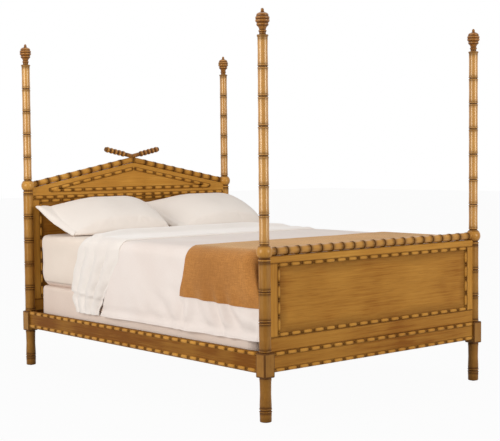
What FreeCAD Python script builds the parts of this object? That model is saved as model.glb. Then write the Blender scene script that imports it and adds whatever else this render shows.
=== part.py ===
import FreeCAD, Part
import Sketcher
import math
import os
import re
from types import SimpleNamespace

# Four-poster bed with faux bamboo turnings, box spring, mattress and bedding, in millimetres.
# X runs across the bed, Y from the foot (-) to the head (+), Z up; the origin is on the floor
# under the middle of the bed. Each value below can be changed by itself.
sizes = {
    # Flats that stand for the round of turned work
    "post_sides": 20,
    "rod_sides": 14,          # rails between the posts
    "peg_sides": 12,          # crest, pegs and glides
    # Posts: a square leg block, bamboo segments, a ball and a removable finial
    "glide_dia": 24,
    "glide_tall": 3,
    "foot_dia": 58,
    "foot_arris": 3,
    "leg_ring_up": 60,
    "lower_dia": 62,          # lower post, over a bamboo node
    "upper_dia": 53,          # upper post, over a bamboo node
    "waist_draw": 1.5,        # how far a post segment's waist lies inside its nodes
    "block_side": 68,
    "block_low": 220,
    "block_tall": 122,
    "block_arris": 4,
    "foot_lower_count": 3,    # bamboo segments between block and ball
    "head_lower_count": 5,
    "foot_upper_count": 7,    # bamboo segments between ball and finial
    "head_upper_count": 5,
    "ball_dia": 81,
    "ball_tall": 60,
    "foot_ball_up": 831,      # ball centres above the floor
    "head_ball_up": 1124,
    "neck_tall": 6,
    "neck_draw": 4,
    "post_top": 1873,
    "collar_dia": 56,
    "collar_tall": 9,
    "collar_bevel": 2,
    "spigot_dia": 24,
    "spigot_long": 40,
    "bore_gap": 0.3,          # round a spigot or a peg
    "bore_end_gap": 2,
    "peg_dia": 10,
    "peg_long": 25,
    "finial_dia": 70,
    "finial_tall": 126.7,
    # Rails at block height
    "rail_low": 243,
    "rail_tall": 98,
    "rail_thick": 28,
    "rail_setback": 12,       # rail face behind block face
    # Half-round bead mouldings
    "moulding_wide": 18,
    "moulding_proud": 8,
    "bead_pitch": 78,
    # Framed panels of footboard and headboard
    "frame_thick": 30,
    "housing_in": 20,         # from post axis to the floor of the housing that takes the frame
    "stile_wide": 52.5,
    "low_rail_tall": 71,
    "foot_top_rail_tall": 37.5,
    "panel_thick": 10,
    "panel_setback": 6,
    "groove_deep": 8,
    # Turned rail over the footboard
    "turning_dia": 43,
    "turning_draw": 2,
    "turning_count": 19,
    "turning_end": 22,
    # Headboard pediment, its raking rails and its crest
    "apex_up": 1280,
    "rake_dia": 39,
    "rake_draw": 2,
    "rake_count": 8,
    "rake_end": 22,
    "apex_plain": 100,
    "pediment_low": 1036,
    "cross_up": 1050,
    "tympanum_base_up": 1091,
    "tympanum_drop": 55,      # from the raking rail's axis down to the raking moulding
    "crest_lift": 23,         # crest axis above the raking rails' axes
    "crest_tilt": 12.3,       # degrees above level
    "crest_dia": 34,
    "crest_draw": 3,
    "crest_plain": 60,
    "crest_bulge_long": 31,
    "crest_bulge_count": 5,
    # Hook plates between side rails and blocks
    "plate_wide": 18,
    "plate_tall": 80,
    "plate_thick": 3,
    "hook_long": 11,
    "hook_tall": 14,
    "hook_thick": 4,
    "hook_play": 0.6,
    "hook_spacing": 44,
    # Ledgers and slats
    "ledger_side": 22,
    "ledger_up": 255,         # underside above the floor
    "ledger_short": 20,       # stops short of the blocks
    "slat_count": 9,
    "slat_wide": 80,
    "slat_thick": 20,
    "slat_play": 2,
    "slat_end": 40,           # first slat from the ledger's end
    # Box spring and mattress; the posts and boards stand round them
    "bed_wide": 1524,
    "bed_long": 2032,
    "side_gap": 24.5,         # from mattress to side rail
    "head_gap": 51,           # from headboard to mattress
    "foot_gap": 111,          # from mattress to footboard
    "box_tall": 208,
    "mattress_tall": 312,
    "bed_corner": 60,
    "corner_steps": 3,        # flats round a soft corner
    "seat_gap": 0.3,          # between pieces that lift apart
    # Bedding
    "sheet_thick": 1.5,
    "cloth_clear": 4,         # cloth off the mattress's sides
    "cloth_shoulder": 55,
    "cloth_chamfer": 30,
    "coverlet_thick": 8,
    "coverlet_hem_up": 380,
    "coverlet_short": 896,    # its head edge from the mattress's head end
    "coverlet_sweep": 130,    # its head edge runs that much towards the head down to the hem
    "coverlet_flare": 12,
    "cloth_ripple": 7,        # depth of the hanging folds at the hem
    "fold_pitch": 130,
    "foot_drop": 250,
    "top_sheet_thick": 12,
    "top_sheet_wide": 490,
    "top_sheet_swell": 25,    # rise of the turned-back sheet in front of the pillows
    "top_sheet_hem_up": 400,
    "top_sheet_sweep": 205,   # its foot edge runs that much towards the head down to the hem
    "top_sheet_ripple": 14,
    "sheet_fold_pitch": 80,
    "throw_thick": 6,
    "throw_wide": 520,
    "throw_hem_up": 556,
    "throw_flare": 8,
    # Pillows, leaning on the headboard
    "pillow_wide": 785,
    "pillow_space": 10,
    "pillow_front": 395,      # front edge from the mattress's head end
    "pillow_lip": 14,
    "pillow_rise": 172,
    "pillow_back": 40,        # back edge past the mattress's head end
    "pillow_crown": 112,
    "crown_steps": 6,         # flats over a pillow's crown
    "pillow_seam": 9,
}

# Finial outline from its seat up: shares of its height and of its greatest radius
finial_shares = [
    (0, 0.47), (0.13, 0.58), (0.21, 0.47), (0.37, 0.82), (0.44, 0.78), (0.53, 1),
    (0.58, 0.93), (0.63, 1), (0.70, 0.83), (0.77, 0.82), (0.86, 0.26), (0.97, 0.22), (1, 0.08),
]
# Section of a bead moulding: shares of its width and of its height off the board
bead_shares = [(-0.5, 0), (-0.28, 1), (0.28, 1), (0.5, 0)]
bead_node_share = 0.66        # size of the moulding at a node, against its size between nodes
# Upholstered sides from the bottom up: shares of the height, and of the corner radius drawn in
box_side_shares = [(0, 0.12), (0.04, 0), (0.95, 0), (1, 0.15)]
mattress_side_shares = [(0, 0.7), (0.07, 0.22), (0.2, 0), (0.8, 0), (0.93, 0.2), (1, 0.75)]
# Stations along half a pillow: shares of its half width, and of the full fullness there
pillow_shares = [(0, 1), (0.3, 0.97), (0.55, 0.84), (0.75, 0.6), (0.9, 0.3), (1, 0)]
pillow_base_share = 0.72      # how far back the pillow lies flat on the mattress
pillow_corner_share = 0.16    # how far the front edge curves back at the pillow's ends
pillow_heel_share = 0.11      # how far its back edge curves in there
pillow_taper_share = 0.12     # how much narrower it is in front than against the headboard

os.makedirs("parts", exist_ok=True)
doc = FreeCAD.newDocument("Bed")
sheet = doc.addObject("Spreadsheet::Sheet", "Sizes")
for row, (alias, value) in enumerate(sizes.items(), 1):
    sheet.set(f"A{row}", alias)
    sheet.set(f"B{row}", str(value))
    sheet.setAlias(f"B{row}", alias)
doc.recompute()
size = SimpleNamespace(**{alias: sheet.get(alias) for alias in sizes})
nodes = []


def linked(formula):
    # Formula of size names, written so that the document reads them from its sheet
    return re.sub(r"[a-z_]+", lambda word: f"Sizes.{word[0]}" if word[0] in sizes else word[0], formula)


def bind(thing, formulas):
    for path, formula in formulas.items():
        thing.setExpression(path, linked(formula))


def keep(thing, name):
    # Names a finished piece of the bed
    thing.Label = name
    nodes.append(thing)
    return thing


# Building blocks

def box(name, centre, span):
    # Board or block by the formulas of its centre and of its three sides
    solid = doc.addObject("Part::Box", name)
    bind(solid, dict(zip(("Length", "Width", "Height"), span)))
    for axis, middle, side in zip("xyz", centre, span):
        bind(solid, {f"Placement.Base.{axis}": f"({middle}) - ({side}) / 2"})
    return solid


def group(name, links):
    compound = doc.addObject("Part::Compound", name)
    compound.Links = links
    return compound


def fuse(name, shapes):
    solid = doc.addObject("Part::MultiFuse", name)
    solid.Shapes = shapes
    return solid


def cut(name, base, tools):
    solid = doc.addObject("Part::Cut", name)
    solid.Base = base
    solid.Tool = tools[0] if len(tools) == 1 else group(f"{name}_tools", tools)
    return solid


def origin_part(body, role):
    return next(part for part in body.Origin.OriginFeatures if part.Role == role)


def outline(body, name, role, corners):
    # Closed outline of straight sides; each corner is a pair of formulas.
    # The corners start on a circle of radius 1 and the constraints carry them to their places.
    sketch = body.newObject("Sketcher::SketchObject", name)
    sketch.AttachmentSupport = (origin_part(body, role), [""])
    sketch.MapMode = "FlatFace"
    turns = [2 * math.pi * place / len(corners) for place in range(len(corners))]
    start = [FreeCAD.Vector(math.cos(turn), math.sin(turn), 0) for turn in turns]
    for place, point in enumerate(start):
        sketch.addGeometry(Part.LineSegment(point, start[(place + 1) % len(start)]), False)
    for place in range(len(corners)):
        sketch.addConstraint(Sketcher.Constraint("Coincident", place, 2, (place + 1) % len(corners), 1))
    for place, corner in enumerate(corners):
        for kind, formula, axis in zip(("DistanceX", "DistanceY"), corner, (-2, -1)):
            if formula == "0":
                sketch.addConstraint(Sketcher.Constraint("PointOnObject", place, 1, axis))
            else:
                number = sketch.addConstraint(Sketcher.Constraint(kind, -1, 1, place, 1, 1.0))
                bind(sketch, {f"Constraints[{number}]": formula})
    return sketch


def skin(sections):
    # Solid through sections of equally many points, straight from each section to the next
    faces = [Part.Face(Part.makePolygon(ring + ring[:1])) for ring in (sections[0], sections[-1])]
    for low, high in zip(sections, sections[1:]):
        for place in range(len(low)):
            after = (place + 1) % len(low)
            for third, fourth in ((low[after], high[after]), (high[after], high[place])):
                corners = [low[place], third, fourth, low[place]]
                faces.append(Part.Face(Part.makePolygon(corners)))
    return Part.Solid(Part.Shell(faces)).removeSplitter()


def turned(name, corners, sides="post_sides"):
    # Turned form up the Z axis through rings of (radius, height), straight from ring to ring
    rings = []
    for radius, up in corners:
        ring = doc.addObject("Part::RegularPolygon", f"{name}_ring")
        bind(ring, {"Polygon": sides, "Circumradius": radius, "Placement.Base.z": up})
        ring.recompute()
        rings.append([vertex.Point for vertex in ring.Shape.Vertexes])
    form = doc.addObject("Part::Feature", name)
    form.Shape = skin(rings)
    return form


def bamboo(low, high, count, node, waist):
    # Rings of a row of bamboo segments, each drawn in to a waist between its nodes
    corners = [(node, low)]
    for half in range(1, 2 * getattr(size, count) + 1):
        up = f"{low} + ({high} - {low}) * {half} / (2 * {count})"
        corners.append((waist if half % 2 else node, up))
    return corners


def peg(name, radius, low, high):
    # Straight turned peg on the Z axis
    form = doc.addObject("Part::Prism", name)
    bind(form, {"Polygon": "peg_sides", "Circumradius": radius, "Height": f"{high} - ({low})",
                "Placement.Base.z": low})
    return form


def stand(thing, end, side, up="0"):
    # Moves a turned piece of a post to its post's axis
    bind(thing, {"Placement.Base.x": f"{sides[side]} * {span_x} / 2",
                 "Placement.Base.y": f"{ends[end]} * {span_y} / 2",
                 "Placement.Base.z": up})
    return thing


# Formulas shared by neighbouring pieces
ends = {"foot": -1, "head": 1}
sides = {"left": -1, "right": 1}
span_x = "(bed_wide + 2 * (side_gap + rail_thick + rail_setback) - block_side)"
span_y = "(bed_long + head_gap + foot_gap + frame_thick)"
block_top = "(block_low + block_tall)"
rail_top = "(rail_low + rail_tall)"
opening_low = "(rail_low + rail_tall + low_rail_tall)"
frame_half = f"({span_x} / 2 - housing_in)"
opening_half = f"({span_x} / 2 - housing_in - stile_wide)"
foot_frame_top = "(foot_ball_up - turning_dia / 2)"
foot_opening_top = "(foot_ball_up - turning_dia / 2 - foot_top_rail_tall)"
rake_slope = f"((apex_up - head_ball_up) / ({span_x} / 2))"
rake_over = f"(rake_dia / 2 * sqrt(1 + {rake_slope} ^ 2))"
ball_seat = "sqrt(ball_dia ^ 2 - ball_tall ^ 2) / 2"
rail_in_post = "(block_side / 2 - rail_setback - rail_thick / 2)"
board_top = {
    "foot": foot_frame_top,
    "head": f"(apex_up - {rake_over} - {rake_slope} * ({span_x} / 2 - ball_dia / 2))",
}


# Posts

def ball_rings(up):
    # Rings of a ball with its top and bottom cut flat
    rings = []
    for place in range(-3, 4):
        latitude = f"({place} / 3 * asin(ball_tall / ball_dia))"
        rings.append((f"ball_dia / 2 * cos({latitude})", f"{up} + ball_dia / 2 * sin({latitude})"))
    return rings


def leg_block():
    # Square block with its upright edges taken off
    body = doc.addObject("PartDesign::Body", "Block")
    wide, short = "block_side / 2", "(block_side / 2 - block_arris)"
    corners = []
    for first, second in ((1, 1), (-1, 1), (-1, -1), (1, -1)):
        pair = [(f"{first} * {wide}", f"{second} * {short}"), (f"{first} * {short}", f"{second} * {wide}")]
        corners += pair if first == second else pair[::-1]
    square = outline(body, "Block_outline", "XY_Plane", corners)
    bind(square, {"AttachmentOffset.Base.z": "block_low"})
    block = body.newObject("PartDesign::Pad", "Block_pad")
    block.Profile = square
    bind(block, {"Length": "block_tall"})
    return body


def lower_post(end, side):
    across, along = sides[side], ends[end]
    ball_up = f"{end}_ball_up"
    node, waist = "lower_dia / 2", "lower_dia / 2 - waist_draw"
    neck_low = f"({ball_up} - ball_tall / 2 - neck_tall)"
    leg = [
        ("foot_dia / 2 - foot_arris", "glide_tall"),
        ("foot_dia / 2", "glide_tall + foot_arris"),
        (node, "leg_ring_up"),
        (waist, "(leg_ring_up + block_low) / 2"),
        (node, "block_low"),
    ]
    shaft = bamboo(block_top, neck_low, f"{end}_lower_count", node, waist)
    neck = [("lower_dia / 2 - neck_draw", f"{neck_low} + neck_tall / 2")]
    turning = turned("Lower_turning", leg + shaft + neck + ball_rings(ball_up))
    blank = fuse("Lower_blank", [turning, leg_block()])
    # The bore takes the upper post's spigot, the housing the edge of the framed panel
    high = f"{ball_up} + ball_tall / 2"
    bore = peg("Bore", "spigot_dia / 2 + bore_gap", f"{high} - spigot_long - bore_end_gap", high)
    deep, tall = "ball_dia / 2", f"({board_top[end]} - {rail_top})"
    housing = box("Housing", (f"{-across} * (housing_in + {deep} / 2)", "0", f"{rail_top} + {tall} / 2"),
                  (deep, "frame_thick", tall))
    # Seat of the hook plate, and the room behind it for the hooks
    centre_x, centre_z = f"{across} * {rail_in_post}", "rail_low + rail_tall / 2"
    face = "block_side / 2"
    recess = [box("Plate_seat", (centre_x, f"{-along} * ({face} - plate_thick / 2)", centre_z),
                  ("plate_wide", "plate_thick", "plate_tall"))]
    for step in (-1, 1):
        room = "(hook_long + hook_play)"
        recess.append(box("Hook_room", (centre_x, f"{-along} * ({face} - {room} / 2)",
                                        f"{centre_z} + {step} * hook_spacing / 2"),
                          ("hook_thick + 2 * hook_play", room, "hook_tall + 2 * hook_play")))
    post = cut("Lower_post", blank, [bore, housing, fuse("Plate_recess", recess)])
    return keep(stand(post, end, side), f"lower_post_{end}_{side}")


def upper_post(end, side):
    seat = f"({end}_ball_up + ball_tall / 2)"
    node = "upper_dia / 2"
    collar_low = "(post_top - collar_tall)"
    neck = [(ball_seat, seat), ("upper_dia / 2 - neck_draw", f"{seat} + neck_tall / 2")]
    shaft = bamboo(f"({seat} + neck_tall)", f"({collar_low} - collar_bevel)", f"{end}_upper_count",
                   node, "upper_dia / 2 - waist_draw")
    collar = [("collar_dia / 2", collar_low), ("collar_dia / 2", "post_top")]
    turning = turned("Upper_turning", neck + shaft + collar)
    spigot = peg("Spigot", "spigot_dia / 2", f"{seat} - spigot_long", seat)
    bore = peg("Bore", "peg_dia / 2 + bore_gap", "post_top - peg_long - bore_end_gap", "post_top")
    post = cut("Upper_post", fuse("Upper_blank", [turning, spigot]), [bore])
    return keep(stand(post, end, side), f"upper_post_{end}_{side}")


def finial(end, side):
    corners = [(f"{out} * finial_dia / 2", f"{up} * finial_tall") for up, out in finial_shares]
    turning = turned("Finial_turning", corners)
    piece = fuse("Finial", [turning, peg("Finial_peg", "peg_dia / 2", "-peg_long", "0")])
    return keep(stand(piece, end, side, "post_top + seat_gap"), f"finial_{end}_{side}")


for end in ends:
    for side in sides:
        lower_post(end, side)
        upper_post(end, side)
        finial(end, side)
discs = [stand(peg("Glide", "glide_dia / 2", "0", "glide_tall"), end, side) for end in ends for side in sides]
keep(group("Foot_glides", discs), "foot_glides")


# Side rails, end rails and their hook plates

def plates(end, side):
    # Hook plate let into a side rail's end, and the slotted plate let into the block
    across, along = sides[side], ends[end]
    centre_x = f"{across} * ({span_x} / 2 + {rail_in_post})"
    centre_z = "rail_low + rail_tall / 2"
    joint = f"({span_y} / 2 - block_side / 2)"
    span = ("plate_wide", "plate_thick", "plate_tall")
    flat = box("Rail_plate", (centre_x, f"{along} * ({joint} - plate_thick / 2)", centre_z), span)
    hooks, slots = [], []
    for step in (-1, 1):
        up = f"{centre_z} + {step} * hook_spacing / 2"
        hooks.append(box("Hook", (centre_x, f"{along} * ({joint} + hook_long / 2)", up),
                         ("hook_thick", "hook_long", "hook_tall")))
        slots.append(box("Slot", (centre_x, f"{along} * ({joint} + plate_thick / 2)", up),
                         ("hook_thick + 2 * hook_play", "2 * plate_thick", "hook_tall + 2 * hook_play")))
    blank = box("Post_plate_blank", (centre_x, f"{along} * ({joint} + plate_thick / 2)", centre_z), span)
    return flat, fuse("Hook_plate", [flat] + hooks), cut("Post_plate", blank, slots)


hook_plates, post_plates = [], []
for side, across in sides.items():
    made = [plates(end, side) for end in ends]
    blank = box("Side_rail_blank", (f"{across} * ({span_x} / 2 + {rail_in_post})", "0",
                                    "rail_low + rail_tall / 2"),
                ("rail_thick", f"{span_y} - block_side", "rail_tall"))
    keep(cut("Side_rail", blank, [flat for flat, hooked, slotted in made]), f"side_rail_{side}")
    hook_plates += [hooked for flat, hooked, slotted in made]
    post_plates += [slotted for flat, hooked, slotted in made]
keep(group("Rail_hook_plates", hook_plates), "rail_hook_plates")
keep(group("Post_hook_plates", post_plates), "post_hook_plates")
for end, along in ends.items():
    centre = ("0", f"{along} * ({span_y} / 2 + {rail_in_post})", "rail_low + rail_tall / 2")
    keep(box("End_rail", centre, (f"{span_x} - block_side", "rail_thick", "rail_tall")), f"{end}_rail")


# Ledgers and slats

rail_inner = f"({span_x} / 2 + block_side / 2 - rail_setback - rail_thick)"
ledger_half = f"({span_y} / 2 - block_side / 2 - ledger_short)"
for side, across in sides.items():
    centre = (f"{across} * ({rail_inner} - ledger_side / 2)", "0", "ledger_up + ledger_side / 2")
    keep(box("Ledger", centre, ("ledger_side", f"2 * {ledger_half}", "ledger_side")), f"ledger_{side}")
boards = []
for place in range(size.slat_count):
    first = f"({ledger_half} - slat_end - slat_wide / 2)"
    centre_y = f"-{first} + {place} * 2 * {first} / (slat_count - 1)"
    boards.append(box("Slat", ("0", centre_y, "ledger_up + ledger_side + slat_thick / 2"),
                      (f"2 * ({rail_inner} - slat_play)", "slat_wide", "slat_thick")))
keep(group("Slats", boards), "slats")


# Framed panels

def panel(end, low, top):
    # The panel stands in grooves all round; its own solid cuts the grooves
    centre_y = f"{ends[end]} * {span_y} / 2 - frame_thick / 2 + panel_setback + panel_thick / 2"
    wide = f"2 * ({opening_half} + groove_deep)"
    return keep(box("Panel", ("0", centre_y, f"({low} + {top}) / 2"),
                    (wide, "panel_thick", f"{top} - {low} + 2 * groove_deep")), f"{end}board_panel")


def stiles(end, low, top, groove):
    for side, across in sides.items():
        centre = (f"{across} * ({frame_half} - stile_wide / 2)", f"{ends[end]} * {span_y} / 2",
                  f"({low} + {top}) / 2")
        blank = box("Stile_blank", centre, ("stile_wide", "frame_thick", f"{top} - {low}"))
        keep(cut("Stile", blank, [groove]), f"{end}board_stile_{side}")


def cross_rail(name, end, low, top, groove):
    blank = box("Cross_rail_blank", ("0", f"{ends[end]} * {span_y} / 2", f"({low} + {top}) / 2"),
                (f"2 * {frame_half}", "frame_thick", f"{top} - {low}"))
    return keep(cut("Cross_rail", blank, [groove]), name)


def pediment(groove):
    # Gabled board whose lower edge closes the panel and whose slopes carry the raking rails
    body = doc.addObject("PartDesign::Body", "Pediment")
    peak = f"apex_up - {rake_over}"
    edge = f"{peak} - {rake_slope} * {frame_half}"
    board = body.newObject("PartDesign::Pad", "Board")
    board.Profile = outline(body, "Board_outline", "XZ_Plane", [
        (f"-{frame_half}", "pediment_low"), (frame_half, "pediment_low"),
        (frame_half, edge), ("0", peak), (f"-{frame_half}", edge)])
    board.Midplane = True
    bind(board, {"Length": "frame_thick"})
    bind(body, {"Placement.Base.y": f"{span_y} / 2"})
    return keep(cut("Pediment_board", body, [groove]), "headboard_pediment")


foot_panel = panel("foot", opening_low, foot_opening_top)
head_panel = panel("head", opening_low, "pediment_low")
stiles("foot", opening_low, foot_opening_top, foot_panel)
stiles("head", opening_low, "pediment_low", head_panel)
cross_rail("footboard_top_rail", "foot", foot_opening_top, foot_frame_top, foot_panel)
cross_rail("footboard_bottom_rail", "foot", rail_top, opening_low, foot_panel)
cross_rail("headboard_bottom_rail", "head", rail_top, opening_low, head_panel)
pediment(head_panel)


# Turned rails, coped over the balls of the posts

def ball(end, side):
    return stand(turned("Coping_ball", ball_rings(f"{end}_ball_up")), end, side)


def beyond_middle(side, up):
    # The half of the apex that belongs to the other side's mitred piece
    wide = "2 * apex_plain"
    return box("Beyond_middle", (f"{-sides[side]} * {wide} / 2", f"{span_y} / 2", up), [wide] * 3)


def footboard_turning():
    node = "turning_dia / 2"
    tip_out = f"({node} - 2 * turning_draw)"
    half = f"({span_x} / 2 - ball_dia / 2 - turning_end)"
    tip = f"({span_x} / 2 - ball_dia / 4)"
    rings = bamboo(f"(-{half})", half, "turning_count", node, f"{node} - turning_draw")
    turning = turned("Turning", [(tip_out, f"-{tip}")] + rings + [(tip_out, tip)], "rod_sides")
    bind(turning, {"Placement": f"placement(vector(0; -{span_y} / 2; foot_ball_up);"
                                " rotation(vector(0; 1; 0); 90deg))"})
    balls = [ball("foot", side) for side in sides]
    return keep(cut("Coped_turning", turning, balls), "footboard_turned_rail")


def rake(side):
    across = sides[side]
    node = "rake_dia / 2"
    long = f"({span_x} / 2 * sqrt(1 + {rake_slope} ^ 2))"
    start = "(ball_dia / 2 + rake_end)"
    last = f"({long} - apex_plain)"
    rings = bamboo(start, last, "rake_count", node, f"{node} - rake_draw")
    ball_end = (f"{node} - 2 * rake_draw", "ball_dia / 4")
    apex = [(f"{node} - rake_draw", long), (node, f"{long} + apex_plain")]
    turning = turned("Rake_turning", [ball_end] + rings + apex, "rod_sides")
    tilt = f"{-across} * (90deg - atan({rake_slope}))"
    bind(turning, {"Placement": f"placement(vector({across} * {span_x} / 2; {span_y} / 2; head_ball_up);"
                                f" rotation(vector(0; 1; 0); {tilt}))"})
    return keep(cut("Rake", turning, [ball("head", side), beyond_middle(side, "apex_up")]),
                f"headboard_rake_{side}")


def crest_stick(side, under):
    across = sides[side]
    bulge = "crest_dia / 2"
    node = f"({bulge} - crest_draw)"
    end = "(crest_plain + crest_bulge_count * crest_bulge_long)"
    rings = [(node, "-crest_dia")]
    rings += bamboo("crest_plain", end, "crest_bulge_count", node, bulge)
    rings.append((f"{node} - crest_draw", f"{end} + crest_draw"))
    turning = turned("Crest_turning", rings, "peg_sides")
    bind(turning, {"Placement": f"placement(vector(0; {span_y} / 2; apex_up + crest_lift);"
                                f" rotation(vector(0; 1; 0); {across} * (90deg - crest_tilt * 1deg)))"})
    return keep(cut("Crest", turning, [beyond_middle(side, "apex_up + crest_lift"), under]),
                f"crest_stick_{side}")


footboard_turning()
rakes = fuse("Rakes", [rake(side) for side in sides])
for side in sides:
    crest_stick(side, rakes)
doc.recompute()


# Bead mouldings

half_x = size.bed_wide / 2 + size.side_gap + size.rail_thick + size.rail_setback - size.block_side / 2
half_y = (size.bed_long + size.head_gap + size.foot_gap + size.frame_thick) / 2
opening_side = half_x - size.housing_in - size.stile_wide
opening_bottom = size.rail_low + size.rail_tall + size.low_rail_tall
opening_top = {
    "foot": size.foot_ball_up - size.turning_dia / 2 - size.foot_top_rail_tall,
    "head": size.pediment_low,
}
edge_in = size.moulding_wide / 2
slope = (size.apex_up - size.head_ball_up) / half_x
turn_y, turn_z = FreeCAD.Vector(0, 1, 0), FreeCAD.Vector(0, 0, 1)


def bead_stick(long):
    # Moulding along X with its flat back on the plane Y = 0, one section at each node and one between
    count = max(1, round(long / size.bead_pitch))
    sections = []
    for step in range(2 * count + 1):
        wide = size.moulding_wide * (1 if step % 2 else bead_node_share)
        proud = size.moulding_proud * (1 if step % 2 else bead_node_share)
        sections.append([FreeCAD.Vector(long * step / (2 * count), -proud * out, wide * place)
                         for place, out in bead_shares])
    return skin(sections)


def laid(long, start, turn):
    stick = bead_stick(long)
    stick.Placement = FreeCAD.Placement(FreeCAD.Vector(*start), turn)
    return stick


def level(half_long, face_y, up):
    return laid(2 * half_long, (-half_long, face_y, up), FreeCAD.Rotation())


def upright(low, top, across, face_y):
    return laid(top - low, (across, face_y, low), FreeCAD.Rotation(turn_y, -90))


def coded(name, shape):
    piece = doc.addObject("Part::Feature", name)
    piece.Shape = shape
    return keep(piece, name)


def rail_mouldings():
    ups = [size.rail_low + edge_in, size.rail_low + size.rail_tall - edge_in]
    face = size.block_side / 2 - size.rail_setback
    long = 2 * half_y - size.block_side
    for side, across in sides.items():
        start = (across * (half_x + face), -across * long / 2)
        coded(f"side_rail_mouldings_{side}", Part.makeCompound([
            laid(long, (*start, up), FreeCAD.Rotation(turn_z, 90 * across)) for up in ups]))
    half_long = half_x - size.block_side / 2
    coded("foot_rail_mouldings", Part.makeCompound([level(half_long, -half_y - face, up) for up in ups]))


def panel_mouldings(end):
    face = ends[end] * half_y - size.frame_thick / 2 + size.panel_setback
    top = opening_top[end]
    sticks = [level(opening_side, face, up) for up in (opening_bottom + edge_in, top - edge_in)]
    for across in sides.values():
        sticks.append(upright(opening_bottom + size.moulding_wide, top - size.moulding_wide,
                              across * (opening_side - edge_in), face))
    coded(f"{end}board_panel_mouldings", Part.makeCompound(sticks))


def wedge(corners, face):
    # Prism over an outline on the board's face, deep enough to trim a moulding there
    points = [FreeCAD.Vector(x, face - 2 * size.moulding_proud, z) for x, z in corners]
    flat = Part.Face(Part.makePolygon(points + points[:1]))
    return flat.extrude(FreeCAD.Vector(0, 3 * size.moulding_proud, 0))


def tympanum_mouldings():
    # Two raking sticks mitred at the peak, and a base stick trimmed to their undersides
    face = half_y - size.frame_thick / 2
    peak = size.apex_up - size.tympanum_drop
    floor = size.tympanum_base_up - edge_in
    run = (peak - floor) / slope
    long = math.hypot(run, run * slope)
    under = peak - edge_in * math.sqrt(1 + slope ** 2)
    spare = [(-long, floor - long), (2 * long, floor - long), (2 * long, floor), (-long, floor)]
    beyond = [(-long, peak - long), (0, peak - long), (0, peak + long), (-long, peak + long)]
    tilt = FreeCAD.Rotation(turn_y, math.degrees(math.atan(slope)))
    right = laid(long + size.moulding_wide, (0, face, peak), tilt)
    for corners in (spare, beyond):
        right = right.cut(wedge(corners, face))
    base = level(run, face, size.tympanum_base_up)
    for across in sides.values():
        over = [(0, under), (across * 2 * run, under - 2 * run * slope), (across * 2 * run, peak + long),
                (0, peak + long)]
        base = base.cut(wedge(over, face))
    left = right.mirror(FreeCAD.Vector(), FreeCAD.Vector(1, 0, 0))
    coded("tympanum_mouldings", Part.makeCompound([left, right, base]))


rail_mouldings()
for end in ends:
    panel_mouldings(end)
coded("headboard_cross_moulding",
      level(half_x - size.lower_dia / 2, half_y - size.frame_thick / 2, size.cross_up))
tympanum_mouldings()


# Box spring, mattress and the cloth over them

bed_head = half_y - size.frame_thick / 2 - size.head_gap
bed_foot = bed_head - size.bed_long
bed_middle = (bed_head + bed_foot) / 2
box_low = size.ledger_up + size.ledger_side + size.slat_thick + size.seat_gap
mattress_low = box_low + size.box_tall + size.seat_gap
mattress_top = mattress_low + size.mattress_tall
sheet_top = mattress_top + size.sheet_thick


def rounded(grown, up):
    # Plan outline of the bed, grown or drawn in on every side, with round corners
    bend = size.bed_corner + grown
    wide, long = size.bed_wide / 2 + grown - bend, size.bed_long / 2 + grown - bend
    ring = []
    for quarter, (across, along) in enumerate(((1, 1), (-1, 1), (-1, -1), (1, -1))):
        for step in range(size.corner_steps + 1):
            turn = math.pi / 2 * (quarter + step / size.corner_steps)
            ring.append(FreeCAD.Vector(across * wide + bend * math.cos(turn),
                                       bed_middle + along * long + bend * math.sin(turn), up))
    return ring


def upholstered(low, tall, side_shares, grown=0):
    return skin([rounded(grown - size.bed_corner * drawn, low + tall * up) for up, drawn in side_shares])


def fitted_sheet(mattress):
    # A thin shell over the mattress's top and sides, open below
    outer = upholstered(mattress_low, size.mattress_tall + size.sheet_thick, mattress_side_shares,
                        size.sheet_thick)
    wide, long = size.bed_wide, size.bed_long
    below = Part.makeBox(2 * wide, 2 * long, size.mattress_tall * mattress_side_shares[1][0],
                         FreeCAD.Vector(-wide, bed_middle - long, mattress_low))
    return outer.cut(mattress).cut(below)


def drape_section(along, sweep, inner, thick, top, hem, out):
    # Section across the bed of a cloth that lies over it and hangs down both sides.
    # Its plane leans, so that the hem lies the sweep nearer to the head than the top does.
    outer, bend, short, under = inner + thick, size.cloth_shoulder, size.cloth_chamfer, top - thick
    shoulder = []
    for step in range(size.corner_steps + 1):
        turn = math.pi / 2 * step / size.corner_steps
        shoulder.append((outer - bend + bend * math.cos(turn), top - bend + bend * math.sin(turn)))
    half = [(inner - short, under), (inner, under - short), (inner + out, hem), (outer + out, hem)] + shoulder
    path = half + [(-x, z) for x, z in half[::-1]]
    return [FreeCAD.Vector(x, along + sweep * (top - z) / (top - hem), z) for x, z in path]


def draped(foot, head, inner, thick, top, hem, flare, ripple, pitch, sweeps=(0, 0), swell=0):
    # Cloth over the bed whose sides hang in soft upright folds; the sweeps are those of its
    # foot edge and of its head edge, and between these two edges its top swells up
    count = max(2, 2 * round((head - foot) / pitch / 2))
    sections = []
    for step in range(count + 1):
        share = step / count
        along = foot + (head - foot) * share
        sweep = sweeps[0] + (sweeps[1] - sweeps[0]) * share
        crown = top + swell * math.sin(math.pi * share)
        out = flare + ripple * (-1) ** step
        sections.append(drape_section(along, sweep, inner, thick, crown, hem, out))
    return skin(sections)


def foot_apron(foot, inner, thick, top):
    # The part of a cloth that hangs down behind the footboard
    half = inner + thick - size.cloth_shoulder
    return Part.makeBox(2 * half, thick, size.foot_drop, FreeCAD.Vector(-half, foot, top - size.foot_drop))


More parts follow.
